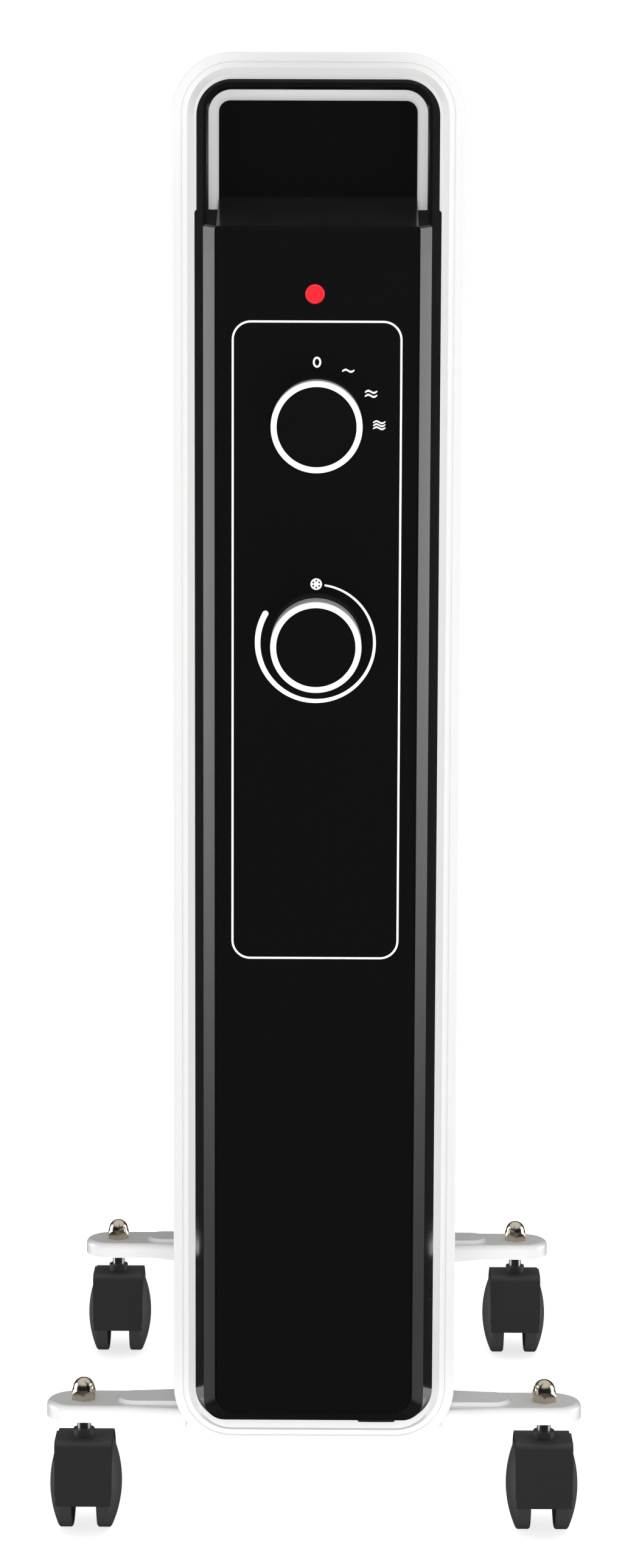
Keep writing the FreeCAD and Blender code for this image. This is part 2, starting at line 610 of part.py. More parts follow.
def caster_wheel():
    """Right-hand wheel (towards +X) of a caster, stem axis on x = y = 0."""
    inner = WHEEL_GAP / 2
    face = inner + WHEEL_TREAD
    rim = WHEEL_R - WHEEL_EDGE
    sag = (rim * rim + WHEEL_DOME * WHEEL_DOME) / (2 * WHEEL_DOME)
    mid_r = rim * 0.55
    mid_x = face + WHEEL_DOME - sag + math.sqrt(sag * sag - mid_r * mid_r)
    start, end = vec(face, 0, rim), vec(face + WHEEL_DOME, 0, 0)
    corners = [end, vec(inner, 0, 0), vec(inner, 0, WHEEL_R - WHEEL_INNER_EDGE),
               vec(inner + WHEEL_INNER_EDGE, 0, WHEEL_R), vec(face - WHEEL_EDGE, 0, WHEEL_R), start]
    edges = [Part.LineSegment(a, b) for a, b in zip(corners, corners[1:])]
    edges.append(Part.Arc(start, vec(mid_x, 0, mid_r), end))
    profile = Part.Face(Part.Wire([e.toShape() for e in edges]))
    wheel = profile.revolve(vec(0, 0, 0), AXIS_X, 360)
    hollow = rod(WHEEL_R - WHEEL_WALL, vec(inner, 0, 0), AXIS_X, WHEEL_TREAD - WHEEL_WALL)
    wheel = wheel.cut(hollow.cut(rod(WHEEL_HUB_R, vec(inner, 0, 0), AXIS_X, WHEEL_TREAD)))
    wheel = wheel.cut(rod(AXLE_R + RUN_FIT, vec(0, 0, 0), AXIS_X, face + AXLE_IN_DOME + PLAY))
    return moved(wheel, 0, TRAIL, WHEEL_R)


def caster_axle():
    half = WHEEL_GAP / 2 + WHEEL_TREAD + AXLE_IN_DOME
    return rod(AXLE_R, vec(-half, TRAIL, WHEEL_R), AXIS_X, 2 * half)


def make_casters():
    hood, right, axle = caster_hood(), caster_wheel(), caster_axle()
    left = right.mirror(vec(0, 0, 0), AXIS_X)
    for name, (x, y) in zip(CORNER_NAMES, CORNERS):
        export("caster_hood_" + name, moved(hood, x, y))
        export("caster_axle_" + name, moved(axle, x, y))
        export("wheel_left_" + name, moved(left, x, y))
        export("wheel_right_" + name, moved(right, x, y))


# ---------------------------------------------------------------- control cover
def cover_wire(half_w, z0, z1, y, inset=0.0):
    share = (y - FACE_Y) / COVER_DEPTH
    r = max(FASCIA_CORNER_R + (COVER_CORNER_R - FASCIA_CORNER_R) * share - inset, 1.0)
    return rounded_rect(half_w - inset, z0 + inset, z1 - inset, r, COVER_TOP_R, y)


def cover_solid(inset, y_back):
    """Outer body of the cover, or with an inset its inner space."""
    bevel_low = COVER_FACE_LOW_Z - COVER_BEVEL_D
    bevel_top = COVER_FACE_TOP_Z + COVER_TOP_RISE * COVER_BEVEL_D / COVER_DEPTH
    back = cover_wire(COVER_BASE_W / 2, COVER_LOW_Z, COVER_TOP_Z, y_back, inset)
    shoulder = cover_wire(COVER_SHOULDER_W / 2, bevel_low, bevel_top, BEVEL_Y, inset)
    face_half = COVER_SHOULDER_W / 2 - COVER_BEVEL_W
    face = cover_wire(face_half, COVER_FACE_LOW_Z, COVER_FACE_TOP_Z, FACE_Y + inset, inset)
    return frustum(back, shoulder).fuse(frustum(shoulder, face))


def cover_side_x(distance):
    """Outside of the cover's drafted side wall at a distance in front of the fin."""
    share = distance / (COVER_DEPTH - COVER_BEVEL_D)
    return COVER_BASE_W / 2 - share * (COVER_BASE_W - COVER_SHOULDER_W) / 2


def loop_joint_z():
    return COVER_FACE_TOP_Z - LOOP_JOINT_DROP


def handle_loop():
    foot_z = loop_joint_z() + LOOP_JOINT_DROP / 2

    def loop(half_w, drop, r, distance):
        return rounded_rect(half_w, foot_z, FIN_TOP_Z - drop, COVER_TOP_R, r, PANEL_Y - distance)
    back_x, front_x = (cover_side_x(d) - HANDLE_INSET for d in (HANDLE_BACK, HANDLE_FRONT))
    outer = frustum(loop(back_x, HANDLE_BACK_DROP, HANDLE_R, HANDLE_BACK),
                    loop(front_x, HANDLE_FRONT_DROP, HANDLE_R - (back_x - front_x), HANDLE_FRONT))
    inner = box(-HANDLE_INNER_W / 2, HANDLE_INNER_W / 2, PANEL_Y - HANDLE_FRONT - OVER,
                PANEL_Y - HANDLE_BACK + OVER, foot_z - OVER, FIN_TOP_Z - HANDLE_INNER_DROP)
    inner = rounded(inner, HANDLE_INNER_R, lambda b: b.ZMin > foot_z and b.YMax - b.YMin > OVER)
    return outer.cut(inner)


def gland_axis():
    run_y, run_z = BEVEL_Y - PANEL_Y, (COVER_FACE_LOW_Z - COVER_BEVEL_D) - COVER_LOW_Z
    length = math.hypot(run_y, run_z)
    normal = vec(0, -run_z / length, run_y / length)
    share = 1 - GLAND_SET_BACK / (COVER_DEPTH - COVER_BEVEL_D)
    x = FLANGE_AF / math.sqrt(3) + GLAND_GAP + GLAND_LIP_R
    return vec(x, PANEL_Y + share * run_y, COVER_LOW_Z + share * run_z), normal


def side_screw_places():
    y = PANEL_Y - SCREW_Y
    for z in (COVER_LOW_Z + SCREW_LOW_UP, COVER_TOP_Z - SCREW_HIGH_DROP):
        for s in (-1, 1):
            yield s, y, z


def at_side_screw(shape, s, y, z):
    """Turns a shape on the +X axis square to the cover's drafted side wall and puts it on the wall."""
    draft = math.atan((COVER_BASE_W - COVER_SHOULDER_W) / 2 / (COVER_DEPTH - COVER_BEVEL_D))
    angle = math.degrees(-draft if s > 0 else math.pi + draft)
    turned = shape.copy()
    turned.rotate(vec(0, 0, 0), AXIS_Z, angle)
    return moved(turned, s * cover_side_x(SCREW_Y), y, z)


def countersink(clear):
    """Cone of a flush screw head whose top lies at x = 0, with a run-out beyond it."""
    head_r = SCREW_HEAD_R + clear
    cone = Part.makeCone(SCREW_R + clear, head_r, SCREW_HEAD_H, vec(-SCREW_HEAD_H, 0, 0), AXIS_X)
    return cone, rod(head_r, vec(-EPS, 0, 0), AXIS_X, OVER)


def make_cover():
    cover = cover_solid(0, PANEL_Y)
    half = FASCIA_W / 2 + FASCIA_GAP
    cover = cover.fuse(handle_loop())
    cavity = cover_solid(WALL, PANEL_Y + EPS)
    cavity = cavity.common(box(-FIN_W, FIN_W, BEVEL_Y, PANEL_Y + OVER, 0, FIN_TOP_Z))
    cover = cover.cut(cavity)
    low = COVER_FACE_LOW_Z - FASCIA_GAP
    high = COVER_TOP_Z + OVER
    rebate = rounded_rect(half, low, high, FASCIA_CORNER_R + FASCIA_GAP, COVER_TOP_R, FACE_Y)
    opening = rounded_rect(half - LEDGE, low + LEDGE, high, FASCIA_CORNER_R - LEDGE, COVER_TOP_R, FACE_Y)
    cover = cover.cut(plate_y(opening, COVER_DEPTH / 2))
    cover = cover.cut(plate_y(rebate, FASCIA_T))
    cover = cover.cut(box(-half, half, FACE_Y - OVER, PANEL_Y + OVER, loop_joint_z(), high))
    centre, normal = gland_axis()
    cover = cover.cut(rod(GLAND_R, centre - normal * 2 * WALL, normal, 4 * WALL))
    shank_hole = rod(SCREW_R + HOLE_CLEAR / 2, vec(-OVER, 0, 0), AXIS_X, OVER)
    screw_hole = fuse([shank_hole, *countersink(PLATE_FIT)])
    for s, y, z in side_screw_places():
        cover = cover.cut(at_side_screw(screw_hole, s, y, z))
    hub_y = PANEL_Y - (ELEMENT_HUB_H - PANEL_H) - HUB_FIT
    cover = cover.cut(rod(HUB_R + HUB_FIT, vec(0, hub_y, HUB_LOW_Z), AXIS_Y, PANEL_Y - hub_y + OVER))
    above = box(-FIN_W, FIN_W, FACE_Y - OVER, PANEL_Y + OVER, loop_joint_z(), FIN_TOP_Z)
    export("control_cover", cover.cut(above).removeSplitter())
    export("carry_loop", cover.common(above).removeSplitter())


def fascia_profile():
    """Side outline of the bent fascia as (y, z) points."""
    recess_y = PANEL_Y - RECESS_STANDOFF
    crease_z = FIN_TOP_Z - RECESS_CREASE_DROP
    top_z = FIN_TOP_Z - RECESS_TOP_DROP
    return [(FACE_Y, COVER_FACE_LOW_Z), (FACE_Y, COVER_FACE_TOP_Z), (recess_y, crease_z), (recess_y, top_z),
            (PANEL_Y - 1.0, top_z), (PANEL_Y - 1.0, crease_z - FASCIA_T),
            (FACE_Y + FASCIA_T, COVER_FACE_TOP_Z - FASCIA_T), (FACE_Y + FASCIA_T, COVER_FACE_LOW_Z)]


def make_fascia():
    half = FASCIA_W / 2
    top_z = FIN_TOP_Z - RECESS_TOP_DROP
    crease_z = FIN_TOP_Z - RECESS_CREASE_DROP
    recess_y = PANEL_Y - RECESS_STANDOFF
    fascia = prism_x(fascia_profile(), half)
    trim = rounded_rect(half, COVER_FACE_LOW_Z, top_z, FASCIA_CORNER_R, RECESS_CORNER_R, FACE_Y - 1)
    fascia = fascia.common(plate_y(trim, COVER_DEPTH))
    hollow = rounded_rect(half - FASCIA_T, crease_z, top_z - FASCIA_T, COVER_TOP_R, RECESS_CORNER_R / 2,
                          recess_y + FASCIA_T)
    fascia = fascia.cut(plate_y(hollow, RECESS_STANDOFF))
    for x, drop, r in ((0, POWER_DROP, BUSH_R), (0, THERMOSTAT_DROP, BUSH_R), (LAMP_X, LAMP_DROP, LAMP_R)):
        start = vec(x, FACE_Y - OVER, FIN_TOP_Z - drop)
        fascia = fascia.cut(rod(r + FASCIA_HOLE_FIT, start, AXIS_Y, FASCIA_T + 2 * OVER))
    export("fascia", fascia.removeSplitter())


def make_cover_internals():
    low, top = COVER_LOW_Z + PLATE_MARGIN, COVER_TOP_Z - PLATE_MARGIN - WALL
    half, tab = PLATE_W / 2, PLATE_TAB_H / 2
    y0 = PANEL_Y - PLATE_T
    plate = plate_y(rounded_rect(half, low, top, COVER_CORNER_R, COVER_TOP_R, y0), PLATE_T)
    flanges = []
    for s in (-1, 1):
        x0, x1 = sorted((s * half, s * (half - PLATE_T)))
        for z in (COVER_LOW_Z + SCREW_LOW_UP, COVER_TOP_Z - SCREW_HIGH_DROP):
            flanges.append(box(x0, x1, y0 - PLATE_FLANGE, y0, z - tab, z + tab))
    plate = fuse([plate] + flanges)
    plate = plate.cut(rod(HUB_R + PLATE_T, vec(0, y0 - OVER, HUB_LOW_Z), AXIS_Y, PLATE_T + 2 * OVER))
    plate = plate.common(cover_solid(WALL + PLATE_FIT, PANEL_Y + EPS))
    for s, y, z in side_screw_places():
        hole = rod(SCREW_R + RUN_FIT, vec(-SCREW_L - OVER, 0, 0), AXIS_X, SCREW_L + 2 * OVER)
        plate = plate.cut(at_side_screw(hole, s, y, z))
    export("mounting_plate", plate.removeSplitter())
    slot_w, slot_l = SCREW_SLOT_W / 2, SCREW_SLOT_L / 2
    cross = box(-SCREW_SLOT_DEPTH, OVER, -slot_w, slot_w, -slot_l, slot_l)
    cross = cross.fuse(box(-SCREW_SLOT_DEPTH, OVER, -slot_l, slot_l, -slot_w, slot_w))
    shank = rod(SCREW_R, vec(-SCREW_L, 0, 0), AXIS_X, SCREW_L - SCREW_HEAD_H)
    screw = fuse([shank, countersink(0)[0]]).cut(cross)
    export("cover_screws", [at_side_screw(screw, s, y, z) for s, y, z in side_screw_places()])
    shield_y = y0 - SHIELD_STANDOFF
    z0 = COVER_LOW_Z + SHIELD_LOW_UP + TIP_UP
    z1 = loop_joint_z()
    shield = box(-SHIELD_W / 2, SHIELD_W / 2, shield_y - SHIELD_T, shield_y, z0, z1)
    for drop, w, d in ((POWER_DROP, SWITCH_W, SWITCH_D + TAB_L),
                       (THERMOSTAT_DROP, THERMOSTAT_W, THERMOSTAT_D + THERMOSTAT_DISC_T)):
        back = FACE_Y + FASCIA_T + d + SHIELD_FIT
        half_w, z = w / 2 + SHIELD_FIT, FIN_TOP_Z - drop
        shield = shield.cut(box(-half_w, half_w, FACE_Y, back, z - half_w, z + half_w))
    export("heat_shield", shield)
    spacers = []
    for z in (z0 + SPACER_INSET, z1 - SPACER_INSET):
        for s in (-1, 1):
            x = s * (SHIELD_W / 2 - SPACER_INSET)
            spacers.append(rod(SPACER_R, vec(x, shield_y, z), AXIS_Y, SHIELD_STANDOFF))
    export("shield_spacers", spacers)


# ---------------------------------------------------------------- knobs and what they turn
def shaft_bar(r, y0, y1, z):
    bar = rod(r, vec(0, y0, z), AXIS_Y, y1 - y0)
    return bar.cut(box(-r, r, y0 - OVER, y1 + OVER, z + r - SHAFT_FLAT, z + r + OVER))


def make_knob(name, drop):
    z = FIN_TOP_Z - drop
    face = FACE_Y - KNOB_PROUD
    skirt = FACE_Y - KNOB_GAP
    core_r = KNOB_R - KNOB_RING_W
    core = rod(core_r, vec(0, face, z), AXIS_Y, skirt - face)
    core = core.cut(rod(core_r - KNOB_WALL, vec(0, face + KNOB_WALL, z), AXIS_Y, KNOB_PROUD))
    boss_y = face + KNOB_WALL - EPS
    core = core.fuse(rod(KNOB_BOSS_R, vec(0, boss_y, z), AXIS_Y, skirt - boss_y))
    bore_y = face + 2 * KNOB_WALL
    core = core.cut(shaft_bar(SHAFT_R + RUN_FIT, bore_y, skirt + OVER, z))
    ring = rod(KNOB_R, vec(0, face - KNOB_RING_PROUD, z), AXIS_Y, skirt - face + KNOB_RING_PROUD)
    ring = rounded(ring, KNOB_EDGE_R, flat_at_y(face - KNOB_RING_PROUD))
    ring = ring.cut(rod(core_r, vec(0, face - OVER, z), AXIS_Y, KNOB_PROUD + 2 * OVER))
    export(name + "_knob", core.removeSplitter())
    export(name + "_knob_ring", ring)
    end = FACE_Y + FASCIA_T + SHAFT_IN_SWITCH
    export(name + "_shaft", shaft_bar(SHAFT_R, bore_y + PLAY, end, z))


def bush_and_bore(body, z):
    bush = rod(BUSH_R, vec(0, FACE_Y + BUSH_SET_BACK, z), AXIS_Y, FASCIA_T - BUSH_SET_BACK + EPS)
    bore = rod(SHAFT_R + RUN_FIT, vec(0, FACE_Y, z), AXIS_Y, FASCIA_T + SHAFT_IN_SWITCH + PLAY)
    return body.fuse(bush).cut(bore).removeSplitter()


def make_switch_bodies():
    y = FACE_Y + FASCIA_T
    z = FIN_TOP_Z - POWER_DROP
    half = SWITCH_W / 2
    back = y + SWITCH_D
    body = rounded(box(-half, half, y, back, z - half, z + half), BODY_CORNER_R,
                   lambda b: b.YMax - b.YMin > SWITCH_D - 1e-3)
    tab = box(-TAB_T / 2, TAB_T / 2, back - EPS, back + TAB_L, z - TAB_W / 2, z + TAB_W / 2)
    tabs = [moved(tab, x, 0) for x in (-SWITCH_TAB_X, 0, SWITCH_TAB_X)]
    export("power_switch", bush_and_bore(fuse([body] + tabs), z))
    z = FIN_TOP_Z - THERMOSTAT_DROP
    half = THERMOSTAT_W / 2
    body = rounded(box(-half, half, y, y + THERMOSTAT_D, z - half, z + half), BODY_CORNER_R,
                   lambda b: b.YMax - b.YMin > THERMOSTAT_D - 1e-3)
    disc = rod(THERMOSTAT_DISC_R, vec(0, y + THERMOSTAT_D - EPS, z), AXIS_Y, THERMOSTAT_DISC_T)
    tab_y = y + THERMOSTAT_TAB_Y
    tab = box(-TAB_W / 2, TAB_W / 2, tab_y, tab_y + TAB_T, z - half - TAB_L, z - half + EPS)
    tabs = [moved(tab, x, 0) for x in (-THERMOSTAT_TAB_X, THERMOSTAT_TAB_X)]
    export("thermostat", bush_and_bore(fuse([body, disc] + tabs), z))


def make_lamp():
    z = FIN_TOP_Z - LAMP_DROP
    lens = rod(LAMP_R, vec(LAMP_X, FACE_Y - LAMP_PROUD, z), AXIS_Y, LAMP_L)
    export("lamp_lens", rounded(lens, LAMP_EDGE, flat_at_y(FACE_Y - LAMP_PROUD)))
    holder_y = FACE_Y + FASCIA_T
    holder = rod(LAMP_HOLDER_R, vec(LAMP_X, holder_y, z), AXIS_Y, LAMP_HOLDER_L)
    holder = holder.cut(rod(LAMP_R + LAMP_FIT, vec(LAMP_X, FACE_Y, z), AXIS_Y, LAMP_L - LAMP_PROUD))
    pin = rod(LAMP_PIN_R, vec(LAMP_X, holder_y + LAMP_HOLDER_L - EPS, z), AXIS_Y, LAMP_PIN_L)
    pins = [moved(pin, x, 0) for x in (-LAMP_PIN_X, LAMP_PIN_X)]
    export("lamp_holder", fuse([holder] + pins))


# ---------------------------------------------------------------- heating element and safety devices
def element_face_y():
    return -ELEMENT_HUB_H - GASKET_T - FLANGE_H


def tube_ends():
    return [(sx * TUBE_X, HUB_LOW_Z + sz * TUBE_BEND_R) for sx in (-1, 1) for sz in (-1, 1)]


def make_element():
    front = element_face_y()
    gasket = rod(FLANGE_AF / 2 - GASKET_INSET, vec(0, -ELEMENT_HUB_H - GASKET_T, HUB_LOW_Z), AXIS_Y, GASKET_T)
    gasket = gasket.cut(rod(HUB_PORT_R, vec(0, -ELEMENT_HUB_H - OVER, HUB_LOW_Z), AXIS_Y, 2 * OVER))
    export("element_gasket", gasket)
    flange = hexagon_rod(FLANGE_AF, vec(0, front, HUB_LOW_Z), AXIS_Y, FLANGE_H, 0)
    for x, z in tube_ends():
        flange = flange.cut(rod(TUBE_R + RUN_FIT / 2, vec(x, front - OVER, z), AXIS_Y, FLANGE_H + 2 * OVER))
    export("element_flange", flange)
    end_y = LAST_SEAM_Y - TUBE_END_MARGIN
    start_y = front - TUBE_TAIL
    hairpins = []
    low_z, high_z = HUB_LOW_Z - TUBE_BEND_R, HUB_LOW_Z + TUBE_BEND_R
    for x in (-TUBE_X, TUBE_X):
        legs = [rod(TUBE_R, vec(x, start_y, z), AXIS_Y, end_y - start_y) for z in (low_z, high_z)]
        bend = Part.makeTorus(TUBE_BEND_R, TUBE_R, vec(x, end_y, HUB_LOW_Z), AXIS_X)
        beyond = box(-FIN_W, FIN_W, end_y, end_y + FIN_PITCH, low_z - HUB_R, high_z + HUB_R)
        hairpins.append(fuse(legs + [bend.common(beyond)]))
    export("heating_tubes", hairpins)
    terminals = []
    for x, z in tube_ends():
        bead = rod(BEAD_R, vec(x, start_y - BEAD_L, z), AXIS_Y, BEAD_L)
        terminals.append(fuse([bead, rod(PIN_R, vec(x, start_y - BEAD_L - PIN_L, z), AXIS_Y, PIN_L + EPS)]))
    export("element_terminals", terminals)


def make_safety_parts():
    y0 = PANEL_Y - PLATE_T
    z = HUB_LOW_Z + CUTOUT_UP
    cutout = rod(CUTOUT_R, vec(0, y0 - CUTOUT_H, z), AXIS_Y, CUTOUT_H)
    front = y0 - CUTOUT_H
    tab = box(-TAB_T / 2, TAB_T / 2, front - TAB_L, front + EPS, z - TAB_W / 2, z + TAB_W / 2)
    tabs = [moved(tab, x, 0) for x in (-CUTOUT_TAB_X, CUTOUT_TAB_X)]
    export("thermal_cutout", fuse([cutout] + tabs))
    z = HUB_LOW_Z + TERMINAL_UP
    front, low = y0 - TERMINAL_D, z - TERMINAL_H / 2
    block = box(-TERMINAL_W / 2, TERMINAL_W / 2, front, y0, low, low + TERMINAL_H)
    for x in (-TERMINAL_W / 3, 0, TERMINAL_W / 3):
        block = block.cut(rod(TERMINAL_SCREW_R, vec(x, front, z + TERMINAL_SCREW_UP), AXIS_Y, TERMINAL_BORE))
        block = block.cut(rod(TERMINAL_WIRE_R, vec(x, y0 - TERMINAL_D / 2, low), AXIS_Z, TERMINAL_BORE))
    export("terminal_block", block)


def make_tip_over_switch():
    pivot = HUB_LOW_Z + TIP_UP
    y0 = PANEL_Y - PLATE_T
    bracket = box(-TIP_BRACKET_W / 2, TIP_BRACKET_W / 2, y0 - TIP_BRACKET_T, y0,
                  pivot - TIP_BRACKET_H / 3, pivot + TIP_BRACKET_H * 2 / 3)
    yb = y0 - TIP_BRACKET_T
    pin = rod(TIP_PIN_R, vec(0, yb - TIP_BOX_D, pivot), AXIS_Y, TIP_BOX_D + EPS)
    head = rod(TIP_HEAD_R, vec(0, yb - TIP_BOX_D, pivot), AXIS_Y, TIP_HEAD_T)
    z0 = pivot + TIP_HUB_R + TIP_GAP
    case = box(-TIP_BOX_W / 2, TIP_BOX_W / 2, yb - TIP_BOX_D, yb, z0, z0 + TIP_BOX_H)
    export("tip_over_switch", fuse([bracket, pin, head, case]))
    hub_y = yb - TIP_GAP - TIP_HUB_D
    hub = rod(TIP_HUB_R, vec(0, hub_y, pivot), AXIS_Y, TIP_HUB_D)
    arm = box(-TIP_ARM_W / 2, TIP_ARM_W / 2, hub_y, hub_y + TIP_HUB_D, pivot - TIP_ARM, pivot)
    weight = rod(TIP_WEIGHT_R, vec(0, hub_y, pivot - TIP_ARM), AXIS_Y, TIP_HUB_D)
    bore = rod(TIP_PIN_R + RUN_FIT, vec(0, hub_y, pivot), AXIS_Y, TIP_HUB_D)
    export("tip_pendulum", fuse([hub, arm, weight]).cut(bore))


def make_gland():
    centre, normal = gland_axis()
    tip = Part.makeCone(GLAND_FLANGE_R, GLAND_FLANGE_R - GLAND_TAPER, GLAND_FLANGE_T, centre, normal)
    neck = rod(GLAND_R, centre - normal * (WALL + EPS), normal, WALL + 2 * EPS)
    lip = rod(GLAND_LIP_R, centre - normal * (WALL + GLAND_LIP_T), normal, GLAND_LIP_T)
    bore = rod(GLAND_BORE_R, centre - normal * 2 * GLAND_FLANGE_R, normal, 4 * GLAND_FLANGE_R)
    export("cord_gland", fuse([tip, neck, lip]).cut(bore))
    middle = centre - normal * ((WALL + GLAND_LIP_T - GLAND_FLANGE_T) / 2) + vec(0, SHIFT_Y, 0)
    print("gland bore centre", [round(v, 4) for v in middle], "axis", [round(v, 5) for v in normal],
          "length", round(WALL + GLAND_LIP_T + GLAND_FLANGE_T, 3))


os.makedirs("parts", exist_ok=True)
make_fins()
make_filler_plug()
make_feet()
make_casters()
make_cover()
make_fascia()
make_cover_internals()
make_knob("power", POWER_DROP)
make_knob("thermostat", THERMOSTAT_DROP)
make_switch_bodies()
make_lamp()
make_element()
make_safety_parts()
make_tip_over_switch()
make_gland()
print("origin shift %.3f, knob face y %.3f, rear y %.3f" % (SHIFT_Y, KNOB_FACE_Y + SHIFT_Y, REAR_Y + SHIFT_Y))
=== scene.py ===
import json
import math

import bmesh
import bpy
from mathutils import Matrix, Vector


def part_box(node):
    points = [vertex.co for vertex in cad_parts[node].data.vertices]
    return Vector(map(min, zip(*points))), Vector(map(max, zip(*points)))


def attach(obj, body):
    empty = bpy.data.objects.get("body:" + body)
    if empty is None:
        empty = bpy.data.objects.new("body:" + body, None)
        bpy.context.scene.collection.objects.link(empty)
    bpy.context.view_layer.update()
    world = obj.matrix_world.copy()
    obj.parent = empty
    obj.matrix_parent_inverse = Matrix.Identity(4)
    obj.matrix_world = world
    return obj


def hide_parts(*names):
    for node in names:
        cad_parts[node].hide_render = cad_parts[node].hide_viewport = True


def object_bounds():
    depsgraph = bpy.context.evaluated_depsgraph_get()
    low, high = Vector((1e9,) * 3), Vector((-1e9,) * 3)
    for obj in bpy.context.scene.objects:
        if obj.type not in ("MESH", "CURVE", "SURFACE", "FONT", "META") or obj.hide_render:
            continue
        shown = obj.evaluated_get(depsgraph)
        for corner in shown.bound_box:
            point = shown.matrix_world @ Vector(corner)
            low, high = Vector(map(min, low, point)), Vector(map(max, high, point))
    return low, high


bl_info = {
    "name": "Oil Filled Radiator",
    "version": (1, 0, 0),
    "blender": (4, 5, 0),
    "location": "View3D > Sidebar > Radiator",
    "description": "Finishes, printed scales and studio for an oil filled radiator heater",
    "category": "Object",
}

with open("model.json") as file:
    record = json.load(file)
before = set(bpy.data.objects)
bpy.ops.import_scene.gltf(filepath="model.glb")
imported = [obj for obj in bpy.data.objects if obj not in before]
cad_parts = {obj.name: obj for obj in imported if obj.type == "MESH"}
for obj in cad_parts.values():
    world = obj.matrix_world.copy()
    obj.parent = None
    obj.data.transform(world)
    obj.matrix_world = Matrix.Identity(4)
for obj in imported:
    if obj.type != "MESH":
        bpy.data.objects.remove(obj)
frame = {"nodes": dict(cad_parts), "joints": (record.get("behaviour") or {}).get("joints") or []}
CAD_BOX = [list(corner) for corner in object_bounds()]

MM = 0.001
BODY = "body"
FASCIA_LOW, FASCIA_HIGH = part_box("fascia")
FRONT_Y = FASCIA_LOW.y
BEVEL_DEPTH = 4.5 * MM
SHOULDER_Y = FRONT_Y + BEVEL_DEPTH
SHOULDER_HALF_W = 44.5 * MM             # the shoulder lines lie outside this
SHOULDER_BOTTOM_Z = 77.0 * MM           # or below this
SHOULDER_TOLERANCE = 0.3 * MM
SHOULDER_RADIUS = 1.4 * MM
SHARP_EDGE = 0.15                       # radians
WELD_DISTANCE = 0.01 * MM
FROST_RING_R = 1.36 * MM                # circle of the frost mark's holes
FROST_HOLE_R = 0.36 * MM
FLOOR_Z = CAD_BOX[0][2]
JOINT_PLACES = {joint["name"]: Vector(joint["pos_m"]) for joint in frame["joints"]}
POWER_CENTRE = JOINT_PLACES["power_knob_turn"]
THERMOSTAT_CENTRE = JOINT_PLACES["thermostat_knob_turn"]
FACING_FRONT = (math.pi / 2, 0.0, 0.0)
FLOOR_GAP = 0.05 * MM
CAMERA_PLACE = (6.8 * MM, -1691.9 * MM, 561.1 * MM)
CAMERA_TURN = (8.25, -0.303, 0.201)     # pitch, yaw and roll in degrees


# ---------------------------------------------------------------- settings
def length(name, description, default):
    return bpy.props.FloatProperty(name=name, description=description, default=default, min=0.0,
                                   unit="LENGTH", subtype="DISTANCE", precision=5)


def colour(name, description, default):
    return bpy.props.FloatVectorProperty(name=name, description=description, default=default,
                                         size=3, min=0.0, max=1.0, subtype="COLOR")


class RadiatorPrintSettings(bpy.types.PropertyGroup):
    """Sizes of the white print on the front plate"""
    ink: length("Ink thickness", "Height of the print above the plate", 0.06 * MM)
    key: length("Ink key", "Depth of the print in the plate's surface", 0.03 * MM)
    outline_width: length("Outline width", "Outer width of the printed outline", 68.2 * MM)
    outline_top: length("Outline top", "Top of the printed outline above the floor", 528.0 * MM)
    outline_bottom: length("Outline bottom", "Bottom of the printed outline above the floor", 269.0 * MM)
    outline_corner: length("Outline corner", "Outer corner radius of the outline", 7.6 * MM)
    outline_line: length("Outline line", "Line width of the outline", 0.82 * MM)
    mark_radius: length("Mark radius", "Distance of the power marks from the knob's axis", 25.0 * MM)
    zero_width: length("Zero width", "Width of the zero mark", 3.4 * MM)
    zero_height: length("Zero height", "Height of the zero mark", 4.4 * MM)
    wave_length: length("Wave length", "Length of one heat wave", 5.0 * MM)
    wave_height: length("Wave height", "Half height of a heat wave", 0.42 * MM)
    stroke: length("Stroke", "Line width of the marks", 0.82 * MM)
    scale_radius: length("Scale radius", "Middle radius of the thermostat scale", 23.6 * MM)
    scale_start: length("Scale start width", "Width of the scale at its cold end", 0.85 * MM)
    scale_end: length("Scale end width", "Width of the scale at its warm end", 2.45 * MM)
    frost_radius: length("Frost mark radius", "Radius of the frost mark", 2.35 * MM)


class RadiatorFinishSettings(bpy.types.PropertyGroup):
    """Colours of the finishes"""
    enamel: colour("Enamel", "White stove enamel on fins and feet", (0.84, 0.838, 0.835))
    cover: colour("Cover", "Black moulding of cover and carry loop", (0.0045, 0.0045, 0.0048))
    fascia: colour("Front plate", "Black front plate", (0.004, 0.004, 0.0042))
    ring: colour("Knob ring", "White ring of the knobs", (0.86, 0.86, 0.86))
    ink: colour("Ink", "White printing ink", (0.9, 0.9, 0.9))
    lamp: colour("Lamp", "Red lamp lens", (0.86, 0.01, 0.02))
    nylon: colour("Caster nylon", "Dark moulding of the caster hoods", (0.022, 0.021, 0.022))
    tyre: colour("Caster wheel", "Dark moulding of the wheels", (0.035, 0.034, 0.036))
    nickel: colour("Nickel", "Plating of the cap nuts", (0.66, 0.58, 0.47))
    zinc: colour("Zinc", "Plating of bolts and screws", (0.62, 0.63, 0.65))
    steel: colour("Steel", "Turned steel", (0.55, 0.55, 0.56))


class RadiatorStageSettings(bpy.types.PropertyGroup):
    """Floor, light and camera"""
    floor: colour("Floor", "Colour of floor and backdrop", (0.92, 0.92, 0.92))
    focal: bpy.props.FloatProperty(name="Focal length", description="Camera lens in millimetres",
                                   default=86.66, min=1.0, subtype="DISTANCE_CAMERA")
    floor_radius: length("Floor radius", "Radius of the paper floor", 30.0)


